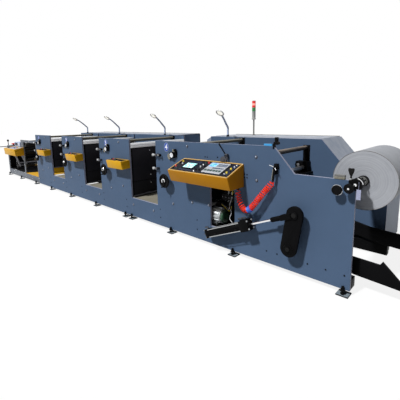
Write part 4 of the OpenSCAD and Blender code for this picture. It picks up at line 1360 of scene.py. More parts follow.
class PRESS_OT_control_boxes(bpy.types.Operator):
    """Yellow control boxes on the first three towers, with recessed switch plates"""

    bl_idname = "press.control_boxes"
    bl_label = "Control boxes"

    def execute(self, context):
        boxes, plates, knobs, red, green, places = [], [], [], [], [], []
        button = [(0, 0), (0.014, 0), (0.014, 0.004), (0.011, 0.008), (0.011, 0.018),
                  (0.008, 0.02), (0, 0.02)]
        slope = math.degrees(math.atan2(0.015, 0.19))
        for i in range(3):
            x = i * PITCH + TOWER - 0.5
            boxes += [(prism, [(0, 1.092), (-0.19, 1.077), (-0.16, 0.932), (0, 0.944)], "X", x,
                       x + 0.5, 0.004, None, 2)]
            top = tilted((x, -0.19, 1.077), slope, "X")
            up = upright(top)
            plates += [(slab, (0.03, 0.03, -0.004), (0.27, 0.165, 0.002), 0.002, top)]
            for kind, u in ((knobs, 0.07), (red, 0.12), (green, 0.17), (knobs, 0.22)):
                kind.append((lathe, top @ Vector((u, 0.09, 0.002)), up, button, 20))
            knobs += [(slab, (0.30, 0.04, -0.002), (0.46, 0.15, 0.0015), 0.001, top)]
            places += [(top @ Vector((u, v, 0.0)), up) for u in (0.02, 0.48)
                       for v in (0.02, 0.17)]
        build("control_box_cases", "yellow_paint", *boxes, replaces=["control_boxes"])
        build("control_box_plates", "dark_panel", *plates)
        build("control_box_knobs", "black_plastic", *knobs)
        build("control_box_stops", "knob_red", *red)
        build("control_box_starts", "key_green", *green)
        fasteners("control_box_screws", places, cap_head(0.009, 0.003), "steel")
        return {"FINISHED"}


class PRESS_OT_console(bpy.types.Operator):
    """Operator console with its instruments, keypad, switches and lamps"""

    bl_idname = "press.console"
    bl_label = "Console"

    # Instruments: name, finish, bevel and corners, on the sloping face from its front left
    PLATES = (
        ("console_rim", "rim_yellow", 0.002, (0.003, 0.004, 0), (1.049, 0.022, 0.005),
         (0.003, 0.335, 0), (1.049, 0.3525, 0.005), (0.003, 0.004, 0), (0.02, 0.3525, 0.005),
         (1.032, 0.004, 0), (1.049, 0.3525, 0.005)),
        ("console_plate", "dark_panel", 0.001, (0.026, 0.026, -0.001), (1.026, 0.329, 0.003)),
        ("console_plate_navy", "panel_navy", 0.002, (0.185, 0.04, 0.003), (0.432, 0.295, 0.008),
         (0.94, 0.05, 0.003), (1.018, 0.305, 0.007)),
        ("screen_frame", "black_plastic", 0.004, (0.208, 0.08, 0.008), (0.412, 0.228, 0.02)),
        ("screen_left", "screen_teal", 0.0006, (0.222, 0.094, 0.0195), (0.398, 0.213, 0.021)),
        ("keypad_plate", "key_grey", 0.004, (0.6, 0.05, 0.003), (0.9, 0.295, 0.014)),
        ("keypad_edge", "white_plastic", 0.001, (0.6, 0.05, 0.0138), (0.9, 0.056, 0.016),
         (0.6, 0.289, 0.0138), (0.9, 0.295, 0.016), (0.6, 0.05, 0.0138), (0.606, 0.295, 0.016),
         (0.894, 0.05, 0.0138), (0.9, 0.295, 0.016)),
        ("keypad_screen", "screen_blue", 0.0006, (0.615, 0.195, 0.014), (0.72, 0.275, 0.0162)),
        ("keypad_band", "key_slate", 0.0008, (0.734, 0.212, 0.014), (0.884, 0.266, 0.0158)))
    # Rows of six keys: name ending, first corner, size, step and height
    KEYS = (("dark", "key_slate", (0.704, 0.152), (0.025, 0.023), 0.030, 0.014),
            ("green", "key_green", (0.616, 0.086), (0.034, 0.038), 0.0455, 0.014),
            ("grey", "key_grey", (0.740, 0.226), (0.018, 0.012), 0.0235, 0.0155))
    BUTTONS = {
        "knob_yellow": ((0.972, 0.105), (0.972, 0.195), (0.075, 0.262)),
        "white_plastic": ((0.99, 0.245), (0.962, 0.07), (0.49, 0.17), (0.12, 0.2)),
        "knob_red": ((0.545, 0.285), (0.06, 0.12)),
        "key_green": ((0.5, 0.272), (0.12, 0.07)),
        "black_plastic": ((0.47, 0.095), (0.53, 0.095), (0.545, 0.19), (0.06, 0.215),
                          (0.995, 0.15), (0.06, 0.06)),
        "chrome": ((0.49, 0.225), (0.995, 0.29), (0.47, 0.05))}

    def execute(self, context):
        x0, x1 = UNIT4 + 0.667, UNIT4 + 1.719
        build("console_case", "console_paint",
              (prism, [(0, 1.225), (-0.33, 1.095), (-0.272, 0.936), (0, 0.94)], "X", x0, x1,
               0.006, None, 3), replaces=["console_body"])
        face = tilted((x0, -0.33, 1.095), math.degrees(math.atan2(0.13, 0.33)), "X")
        up = upright(face)
        for name, material, bevel, *corners in self.PLATES:
            build(name, material, (slabs, zip(corners[::2], corners[1::2]), bevel, face),
                  replaces=["console_panel"] if name == "console_plate" else ())
        for ending, material, (x, y), (wide, deep), step, z in self.KEYS:
            key = shape(slab, (x, y, z - 0.001), (x + wide, y + deep, z + 0.004), 0.0015, face)
            grown("keypad_keys_" + ending, key, "row", material, Count=6, Step=(step, 0, 0))
        for material, spots in self.BUTTONS.items():
            r = 0.016 if material in ("knob_yellow", "knob_red") else 0.012
            profile = [(0, 0), (r, 0), (r, 0.003), (r * 0.8, 0.005), (r * 0.78, 0.014),
                       (r * 0.6, 0.017), (0, 0.0175)]
            build("console_buttons_" + material, material,
                  *((lathe, face @ Vector((u, v, 0.003)), up, profile, 20) for u, v in spots))
        screws = [(face @ Vector((u, v, 0.005)), up) for u in (0.012, 0.36, 0.7, 1.04)
                  for v in (0.012, 0.343)]
        fasteners("console_screws", screws, cap_head(0.009, 0.003), "steel")
        gland = [(0, 0), (0.016, 0), (0.016, 0.014), (0.012, 0.02), (0.009, 0.03), (0, 0.03)]
        build("console_glands", "black_plastic",
              *((lathe, (x0 + x, -0.08, 0.9405), (0, 0, -1), gland, 16)
                for x in (0.12, 0.2, 0.28)))
        return {"FINISHED"}


class PRESS_OT_motor(bpy.types.Operator):
    """Drive motor behind the opening, with its terminal box, near-black sheets that paint the
    shade inside the opening, and wires
    """

    bl_idname = "press.motor"
    bl_label = "Drive motor"

    def execute(self, context):
        end, y, z = side("drive_motor", 1, 0) - 0.06, 0.16, 0.44
        hub = (0, y, z)
        build("motor_case", "motor_alloy",
              (rod, (end - 0.33, y, z), (end - 0.004, y, z), 0.098, 48, 0.004),
              (rod, (end - 0.4, y, z), (end - 0.33, y, z), 0.016, 24),
              (slab, (end - 0.26, y - 0.07, z - 0.127), (end - 0.09, y + 0.07, z - 0.09), 0.004),
              *((ring, (x, y, z), ALONG, 0.094, 0.112, 0.022, 48, 0.002)
                for x in (end - 0.326, end - 0.03)), replaces=["drive_motor"])
        rib = shape(block, (end - 0.3, y - 0.016, z + 0.093),
                    (end - 0.035, y + 0.016, z + 0.111), 0.004)
        grown("motor_ribs", rib, "ring", "motor_alloy", Count=12, Centre=hub, Axis=ALONG)
        build("motor_end_cover", "motor_green",
              (lathe, (end - 0.008, y, z), ALONG,
               [(0, 0), (0.094, 0), (0.096, 0.004), (0.092, 0.03), (0.074, 0.042),
                (0.034, 0.045), (0, 0.045)], 48), smooth=40)
        bar = shape(slab, (end + 0.034, y - 0.003, z + 0.034),
                    (end + 0.039, y + 0.003, z + 0.074), 0.001)
        grown("motor_end_slots", bar, "ring", "black_plastic", Count=16, Centre=hub, Axis=ALONG)
        build("motor_shelf", "black_steel",
              (slab, (end - 0.42, FRONT_IN, z - 0.139), (end + 0.06, y + 0.14, z - 0.127),
               0.002))
        # Near-black sheets round the inside of the opening: painted shade for the dark inside of
        # the machine.
        left, right, deep, low, high = UNIT4 + 1.08, UNIT4 + 1.66, FRONT_IN + 0.4, 0.17, 0.93
        sheet = 0.006
        build("motor_lining", "lining", (slabs, (
            ((left, deep, low), (right, deep + sheet, high)),
            ((left, FRONT_IN, high), (right, deep + sheet, high + sheet)),
            ((left, FRONT_IN, low), (left + sheet, deep, high)),
            ((right - sheet, FRONT_IN, low), (right, deep, high))), 0.001))
        self.wiring(end, y, z)
        return {"FINISHED"}

    def wiring(self, end, y, z):
        """Terminal box, valve block and wires above the motor."""
        build("terminal_box", "black_plastic",
              (block, (end - 0.2, y + 0.02, z + 0.1), (end - 0.04, y + 0.1, z + 0.18), 0.005),
              (slab, (end - 0.02, 0.12, 0.68), (end + 0.2, 0.2, 0.77), 0.004),
              (slab, (end + 0.1, 0.11, 0.58), (end + 0.15, 0.17, 0.68), 0.003))
        fittings = []
        for x in (end + 0.01 + k * 0.055 for k in range(4)):
            fittings += [(rod, (x, 0.1, 0.73), (x, 0.12, 0.73), 0.008, 12),
                         (rod, (x, 0.16, 0.77), (x, 0.16, 0.79), 0.007, 12)]
        build("valve_fittings", "dark_steel", *fittings)
        lead = smooth_line([(end + 0.17, 0.1, 0.75), (end + 0.16, 0.06, 0.62),
                            (end + 0.2, 0.05, 0.56), (end + 0.175, 0.045, 0.47),
                            (end + 0.215, 0.045, 0.42), (end + 0.19, 0.08, 0.36)], 0.01)
        build("motor_lead", "white_plastic", (sweep, lead, 0.0045, 8))
        rng = random.Random(4)
        kinds = (("black_plastic", 6), ("steel", 2), ("knob_yellow", 1))
        for n, (material, count) in enumerate(kinds):
            bm = bmesh.new()
            for k in range(count):
                x = end + 0.04 + 0.14 * rng.random()
                line = [(x, 0.11, 0.78), (x + 0.01, 0.10, 0.84),
                        (end + 0.2 * rng.random(), 0.16, 0.87),
                        (end + 0.08 + 0.12 * rng.random(), 0.10, 0.5 + 0.1 * rng.random()),
                        (end - 0.1 + 0.04 * k, 0.19, z + 0.16)]
                verts = [bm.verts.new(p) for p in line]
                for a, b in zip(verts, verts[1:]):
                    bm.edges.new((a, b))
            grown(f"motor_wires_{n + 1}", bm, "pipe", material, Radius=0.0042 - 0.0006 * n,
                  Bend=0.05, Sides=8)


class PRESS_OT_lift_linkage(bpy.types.Operator):
    """Lift cylinder, its rod and sleeve, the crank lever, the cross shaft and the arms"""

    bl_idname = "press.lift_linkage"
    bl_label = "Lift linkage"

    def execute(self, context):
        hub = Vector((END - 0.6, 0, 0.37))
        crank, angle = 0.396, math.radians(81.1)
        pin = hub + crank * Vector((math.cos(angle), 0, math.sin(angle)))
        base = Vector((hub.x - 1.208, -0.114, hub.z - 0.132))
        tilt = math.atan2(pin.z - base.z, pin.x - base.x)
        self.own = tilted(base, -math.degrees(tilt), "Y")
        self.along = self.own.to_3x3() @ Vector(ALONG)
        self.reach = math.hypot(pin.x - base.x, pin.z - base.z)
        self.cylinder()
        self.rod_end()
        self.lever(hub)
        carry("lift_arms", "black_steel", "lift_arms", bevel=0.0025)
        self.cross_shaft(hub)
        carry("cylinder_pivot", "dark_steel", bevel=0.002)
        return {"FINISHED"}

    def line(self, x, y=0.0, z=0.0):
        """A point given along and across the cylinder's own axis."""
        return self.own @ Vector((x, y, z))

    def cross_shaft(self, hub):
        """The cross shaft, turned down a little where it runs in the walls."""
        low, high = side("lift_shaft", 0, 1), side("lift_shaft", 1, 1)
        full, neck, collar, clear, edge = 0.03, 0.0294, 0.055, 0.004, 0.001
        arm, seat = side("lift_arms", 0, 1), FRONT_IN + 0.006
        profile = [(0, low), (full - edge, low), (full, low + edge), (full, -clear),
                   (neck, -clear), (neck, FRONT_IN + clear), (full, FRONT_IN + clear),
                   (full, seat), (collar, seat), (collar, arm), (full, arm),
                   (full, REAR_IN - clear), (neck, REAR_IN - clear), (neck, REAR_OUT + clear),
                   (full, REAR_OUT + clear), (full, high - edge), (full - edge, high), (0, high)]
        build("lift_shaft_finished", "black_steel", (lathe, (hub.x, 0, hub.z), IN, profile, 64),
              body="lift_arms", replaces=["lift_shaft"])

    def cylinder(self):
        own, along, body = self.own, self.along, "cylinder"
        eye = [(-0.018, -0.018), (0.042, -0.018), (0.042, 0.018), (-0.018, 0.018)]
        build("cylinder_case", "black_steel",
              (prism, eye, "Y", -0.014, 0.014, 0.004, own, 2),
              (block, (0.04, -0.058, -0.058), (0.09, 0.058, 0.058), 0.005, own),
              (block, (0.64, -0.058, -0.068), (0.77, 0.058, 0.068), 0.006, own),
              (lathe, self.line(0.084), along,
               [(0.049, 0), (0.053, 0.004), (0.053, 0.556), (0.049, 0.562)], 48),
              (ring, self.line(0.77), along, 0.0135, 0.036, 0.006, 32),
              *((ring, self.line(x), along, 0.035, 0.0565, 0.012, 48) for x in (0.088, 0.628)),
              body=body, replaces=["lift_cylinder"], smooth=40)
        corners = [(y, z) for y in (-0.048, 0.048) for z in (-0.048, 0.048)]
        build("cylinder_tie_rods", "steel",
              *((rod, self.line(0.036, y, z), self.line(0.776, y, z), 0.0055, 14)
                for y, z in corners), body=body)
        nuts = [(self.line(x, y, z), along * way) for y, z in corners
                for x, way in ((0.04, -1), (0.77, 1))]
        fasteners("cylinder_nuts", nuts, hex_head(0.02, 0.009, 0.024), "steel", body)
        up = upright(own)
        fittings = []
        for x, top, sides in ((0.066, 0.058, 6), (0.668, 0.068, 6), (0.73, 0.068, 18)):
            foot = self.line(x, 0, top)
            elbow = foot + up * 0.024
            fittings += [(lathe, foot, up, [(0, 0), (0.013, 0), (0.013, 0.01), (0.009, 0.012),
                                            (0.009, 0.03), (0, 0.03)], sides),
                         (rod, elbow, elbow - along * 0.034, 0.0075, 14),
                         (ring, elbow - along * 0.046, along, 0.005, 0.0105, 0.014, 18)]
        build("cylinder_fittings", "dark_steel", *fittings, body=body, slot="chrome")
        build("cylinder_switches", "black_plastic",
              *((slab, (x, -0.062, -0.03), (x + 0.034, -0.052, -0.012), 0.002, own)
                for x in (0.2, 0.56)),
              (block, (0.655, -0.035, 0.068), (0.765, 0.0, 0.08), 0.004, own), body=body)

    def rod_end(self):
        reach, own, along = self.reach, self.own, self.along
        build("lift_rod_bar", "chrome",
              (rod, self.line(0.5), self.line(0.56), 0.0485, 48),
              (rod, self.line(0.56), self.line(reach - 0.16), 0.0125, 32),
              body="rod", replaces=["lift_rod"])
        prongs, deep = [], Vector((0, 0.012, 0))
        for y in (-0.036, 0.024):
            tip = self.line(reach, y)
            prongs += [(slab, (reach - 0.155, y, -0.03), (reach, y + deep.y, 0.03), 0.002, own),
                       (rod, tip, tip + deep, 0.042, 48, 0.002)]
        build("lift_rod_fork", "black_steel",
              (lathe, self.line(reach - 0.3), along,
               [(0, 0), (0.021, 0), (0.028, 0.007), (0.028, 0.115), (0.024, 0.125),
                (0.024, 0.142), (0, 0.142)], 32),
              (block, (reach - 0.17, -0.036, -0.03), (reach - 0.15, 0.036, 0.03), 0.004, own),
              *prongs, body="rod")
        tip = self.line(reach, -0.036)
        build("lift_rod_nut", "rubber",
              (lathe, self.line(reach - 0.302), along,
               [(0.013, 0), (0.021, 0), (0.021, 0.012), (0.013, 0.012)], 6, True),
              (rod, tip, tip + Vector((0, -0.004, 0)), 0.027, 36), body="rod")

    def lever(self, hub):
        body, x, z = "lift_arms", hub.x, hub.z
        carry("lift_lever", "black_steel", body, bevel=0.003)
        build("lever_collar", "black_steel",
              (ring, (x, -0.132, z), OUT, 0.031, 0.052, 0.006, 48),
              (ring, (x, -0.132, z), OUT, 0.066, 0.07, 0.002, 48, 0.0006), body=body)
        build("lever_pin_caps", "rubber",
              (rod, (x, -0.146, z), (x, -0.1505, z), 0.022, 32), body=body)
        spots = [((x + 0.041 * math.cos(a), -0.138, z + 0.041 * math.sin(a)), OUT)
                 for a in (0.4, 0.4 + math.tau / 3, 0.4 + math.tau * 2 / 3)]
        spots.append(((x, -0.1505, z), OUT))
        fasteners("lever_screws", spots, cap_head(0.011, 0.004), "black_steel", body)


class PRESS_OT_paper_roll(bpy.types.Operator):
    """Wound paper roll on its core and the expanding air shaft"""

    bl_idname = "press.paper_roll"
    bl_label = "Paper roll"

    def execute(self, context):
        x, y, z, wide, body = ROLL_X, 0.209, ROLL_Z, 0.76, "paper_roll"
        rng, turns, core, last = random.Random(11), 47, 0.0505, 0.294
        radii = [core + (last - core) * (k / (turns - 1)) for k in range(turns)]
        faces = [[rng.uniform(0.0002, 0.0016) * (1 if k % 5 else 1.7) for k in range(turns)]
                 for _ in range(2)]
        front = [(r, d) for r, d in zip(radii, faces[0])]
        back = [(r, wide - d) for r, d in zip(radii, faces[1])][::-1]
        edge = [(ROLL_RADIUS, 0.0012), (ROLL_RADIUS, wide - 0.0012)]
        build("paper_winding", "paper",
              (lathe, (x, y, z), IN, front + edge + back, 144, True),
              body=body, replaces=["paper_roll"], smooth=50)
        build("paper_outer_turn", "outer_wrap",
              (ring, (x, y - 0.0008, z), IN, 0.2918, 0.2949, 0.004, 144, 0.0005), body=body)
        build("paper_core", "core_board",
              (ring, (x, y - 0.0005, z), IN, 0.0385, core, wide + 0.001, 64, 0.001), body=body)
        low, high = side("air_shaft", 0, 1), side("air_shaft", 1, 1)
        thin, thick, near, far = 0.02, 0.0372, y - 0.036, y + wide + 0.036
        build("air_shaft_bar", "rubber",
              (lathe, (x, 0, z), IN, [(0, low), (thin, low), (thin, near), (thick, near),
                                      (thick, far), (thin, far), (thin, high), (0, high)], 40),
              body=body, replaces=["air_shaft"], slot="steel")
        build("shaft_collar", "rubber",
              (ring, (x, y - 0.0415, z), IN, thick, 0.0525, 0.041, 48), body=body)
        build("shaft_collar_face", "slate_bar",
              (ring, (x, y - 0.045, z), IN, 0.0205, 0.044, 0.0035, 48), body=body)
        strip = shape(slab, (x - 0.006, FRONT_IN + 0.06, z + 0.0372),
                      (x + 0.006, REAR_IN - 0.06, z + 0.0388), 0.0004)
        grown("shaft_strips", strip, "ring", "rubber", body, Count=6,
              Centre=(x, 0, z), Axis=IN)
        return {"FINISHED"}


class PRESS_OT_unwind_fittings(bpy.types.Operator):
    """Safety chucks, tension knobs, wing screw, edge bar and the tag"""

    bl_idname = "press.unwind_fittings"
    bl_label = "Unwind fittings"

    def execute(self, context):
        x, z = ROLL_X, ROLL_Z
        carry("shaft_chucks", "black_steel", bevel=0.0015)
        arc = [Vector((x + 0.055 * math.cos(a / 10), -0.022, z + 0.055 * math.sin(a / 10)))
               for a in range(1, 15)]
        big_x, big_z, small_x, small_z = (END - 0.143, LOW_TOP - 0.092, END - 0.036,
                                          LOW_TOP - 0.063)
        build("unwind_chrome", "chrome",
              (sweep, arc, 0.0055, 8),
              (lathe, (x, -0.0555, z), OUT,
               [(0, 0), (0.014, 0), (0.014, 0.004), (0.008, 0.007), (0, 0.007)], 20),
              (lathe, (small_x, -0.0985, small_z), OUT,
               [(0, 0), (0.009, 0), (0.009, 0.003), (0.006, 0.0045), (0, 0.0045)], 24))
        build("knob_flange", "chrome",
              (ring, (big_x, -0.066, big_z), OUT, 0.047, 0.052, 0.01, 48))
        knobs = []
        for kx, kz, r, y, deep in ((big_x, big_z, 0.0475, -0.056, 0.04),
                                   (small_x, small_z, 0.046, -0.064, 0.036)):
            knobs += [(lathe, (kx, y, kz), OUT,
                       [(0, 0), (r * 0.9, 0), (r, 0.004), (r, deep * 0.7),
                        (r * 0.93, deep * 0.9), (r * 0.7, deep * 0.97), (r * 0.66, deep * 0.86),
                        (0, deep * 0.84)], 48)]
        build("tension_knob_pair", "black_plastic", *knobs,
              (rod, (big_x, -0.056, big_z), (big_x, 0, big_z), 0.026),
              (rod, (small_x, -0.066, small_z), (small_x, -0.042, small_z), 0.0155),
              replaces=["tension_knobs"], smooth=40)
        grip = shape(slab, (big_x - 0.0025, -0.09, big_z + 0.0465),
                     (big_x + 0.0025, -0.079, big_z + 0.049), 0.0008)
        grown("knob_grips", grip, "ring", "rubber", Count=24,
              Centre=(big_x, 0, big_z), Axis=IN)
        stem = END - 0.051
        wings = [(-0.009, 0.042), (0.009, 0.042), (0.027, 0.09), (0.027, 0.112), (0.012, 0.117),
                 (0, 0.107), (-0.012, 0.117), (-0.027, 0.112), (-0.027, 0.09)]
        build("wing_screw", "rubber",
              (rod, (stem, 0.015, LOW_TOP + 0.006), (stem, 0.015, LOW_TOP + 0.08), 0.008, 20),
              (prism, wings, "Y", 0.006, 0.024, 0.004, Matrix.Translation((stem, 0, LOW_TOP)),
               2))
        build("wing_screw_collar", "steel",
              (ring, (stem, 0.015, LOW_TOP + 0.006), UP, 0.008, 0.019, 0.012, 24))
        a, b, back = END - 0.2, END - 0.1, FRONT_IN - 0.001
        build("edge_bar", "pan_paint",
              (block, (a, -0.004, LOW_TOP), (b, back, LOW_TOP + 0.024), 0.003))
        build("edge_bar_lid", "slate_bar",
              (block, (a, 0.001, LOW_TOP + 0.0235), (b, back, LOW_TOP + 0.045), 0.003))
        build("tag", "tag_white",
              (slab, (END + 0.022, -0.053, 1.008), (END + 0.060, -0.052, 1.104), 0.0003))
        build("tag_string", "tag_white",
              (rod, (x + 0.031, -0.0515, 1.1), (x + 0.031, -0.0515, z + 0.034), 0.0014, 8))
        return {"FINISHED"}


class PRESS_OT_lamps(bpy.types.Operator):
    """Gooseneck work lamps with ring heads on the casing's front edge"""

    bl_idname = "press.lamps"
    bl_label = "Work lamps"

    def execute(self, context):
        arms, heads, lenses, bases = [], [], [], []
        path = ((0, 0, 0.028), (0, 0, 0.1), (0.004, -0.006, 0.165), (0.03, -0.09, 0.235),
                (0.075, -0.2, 0.31), (0.12, -0.31, 0.375), (0.152, -0.382, 0.402),
                (0.172, -0.408, 0.412))
        for i in range(4):
            foot = unit(i, (0.32, 0.31, 0.38, 0.355)[i], REAR_OUT + 0.04, TOP)
            line = smooth_line([Vector(p) + foot for p in path], 0.006)
            radii = [0.0185 - 0.005 * k / len(line) + 0.0013 * (k % 2) for k in range(len(line))]
            arms += [(sweep, line, radii, 14)]
            bases += [(lathe, foot, UP, [(0, 0), (0.03, 0), (0.03, 0.006), (0.024, 0.012),
                                         (0.022, 0.03), (0, 0.034)], 28)]
            at = foot + Vector((0.192, -0.455, 0.420))
            up = upright(tilted(at, -40, "X"))
            heads += [(torus, at, up, 0.066, 0.01, 48, 12),
                      (lathe, at + up * 0.002, up, [(0, 0.014), (0.045, 0.012), (0.054, 0.004),
                                                    (0.052, 0.0), (0.0, 0.004)], 40),
                      (rod, at + up * 0.006 + Vector((-0.012, 0.045, 0)),
                       at + up * 0.006 + Vector((-0.017, 0.068, 0.001)), 0.007, 14)]
            lenses += [(lathe, at + up * 0.001, -up, [(0, -0.004), (0.05, -0.003),
                                                      (0.051, 0.002), (0.044, 0.006),
                                                      (0, 0.007)], 40)]
        build("lamp_arms", "lamp_metal", *arms, replaces=["work_lamps"], smooth=60)
        build("lamp_heads", "lamp_pale", *heads, smooth=45)
        build("lamp_lenses", "lamp_lens", *lenses, smooth=45)
        build("lamp_bases", "black_steel", *bases, slot="lamp_metal")
        return {"FINISHED"}


class PRESS_OT_signal_tower(bpy.types.Operator):
    """Signal tower: pole, grey base and two ribbed lenses"""

    bl_idname = "press.signal_tower"
    bl_label = "Signal tower"

    def execute(self, context):
        x, y = UNIT4 + 0.6, REAR_OUT + 0.52
        build("signal_pole", "slate_bar",
              (lathe, (x, y, TOP), UP, [(0, 0), (0.04, 0), (0.04, 0.008), (0.02, 0.014),
                                        (0.014, 0.03), (0.014, 0.33), (0, 0.33)], 32),
              replaces=["signal_tower"])
        build("signal_base", "signal_plastic",
              (lathe, (x, y, TOP + 0.30), UP,
               [(0.015, 0), (0.03, 0.0), (0.037, 0.004), (0.037, 0.022), (0.033, 0.026),
                (0.033, 0.149), (0.035, 0.154), (0, 0.154)], 40),
              (lathe, (x, y, TOP + 0.643), UP,
               [(0, 0), (0.034, 0), (0.034, 0.003), (0.025, 0.0068), (0, 0.007)], 40))
        for name, low, high, wide in (("green", 0.454, 0.521, 0.0335),
                                      ("red", 0.524, 0.643, 0.0335), ("lit", 0.562, 0.6, 0.0342)):
            steps = int((high - low) / 0.006)
            ribs = [(wide + 0.0012 * (k % 2), low + (high - low) * k / steps)
                    for k in range(steps + 1)]
            build(f"signal_{name}_lens", "signal_" + name,
                  (lathe, (x, y, TOP), UP, [(0, low)] + ribs + [(0, high)], 40), smooth=60)
        build("signal_joint", "signal_plastic",
              (ring, (x, y, TOP + 0.5195), UP, 0.02, 0.0348, 0.006, 40))
        return {"FINISHED"}


class PRESS_OT_brake(bpy.types.Operator):
    """Friction disc above the console, with its knuckle and pull rod"""

    bl_idname = "press.brake"
    bl_label = "Brake"

    def execute(self, context):
        x, z, reach = UNIT4 + 1.41, 1.25, 0.39
        angles = [-reach + k * (math.pi + 2 * reach) / 30 for k in range(31)]
        build("brake_disc", "dark_steel",
              *((prism, [(x + r * math.cos(a), max(z - 0.019, z + r * math.sin(a)))
                         for a in angles], "Y", y, 0, 0.0015)
                for r, y in ((0.05, -0.02), (0.02, -0.028))), replaces=["brake_lever"])
        x, z = x + 0.065, 1.318
        build("brake_knuckle", "dark_steel",
              (block, (x - 0.015, -0.048, z - 0.018), (x + 0.017, -0.02, z + 0.022), 0.006),
              (slab, (x - 0.004, -0.036, z - 0.055), (x + 0.014, -0.012, z - 0.01), 0.004),
              (rod, (x, -0.06, z), (x, 0, z), 0.016, 28))
        lean, start = math.radians(38), Vector((x, -0.045, z))
        tip = start + 0.185 * Vector((-math.sin(lean), 0, math.cos(lean)))
        build("brake_rod", "black_steel",
              (rod, start, tip, 0.0065, 16), (rod, tip.lerp(start, 0.3), tip, 0.0095, 16),
              (rod, (x, -0.061, z), (x, -0.066, z), 0.01, 6))
        return {"FINISHED"}


class PRESS_OT_edge_fittings(bpy.types.Operator):
    """Teal tab and black clamp at the top of the slope"""

    bl_idname = "press.edge_fittings"
    bl_label = "Edge fittings"

    def execute(self, context):
        x = UNIT4 + 2.116
        build("edge_tab", "teal_tab",
              (slab, (x - 0.125, 0.002, TOP), (x - 0.02, FRONT_IN - 0.002, TOP + 0.022), 0.002))
        build("edge_clamp", "black_plastic",
              (slab, (x - 0.008, -0.004, TOP - 0.035), (x + 0.012, FRONT_IN + 0.004, TOP + 0.03),
               0.003),
              (rod, (x + 0.03, 0.015, TOP + 0.04), (x + 0.03, 0.015, TOP + 0.098), 0.022, 24,
               0.004),
              (block, (x - 0.004, 0.003, TOP + 0.018), (x + 0.06, 0.027, TOP + 0.048), 0.004),
              (rod, (x + 0.045, -0.012, TOP + 0.033), (x + 0.045, 0.042, TOP + 0.033), 0.017,
               20, 0.003))
        return {"FINISHED"}


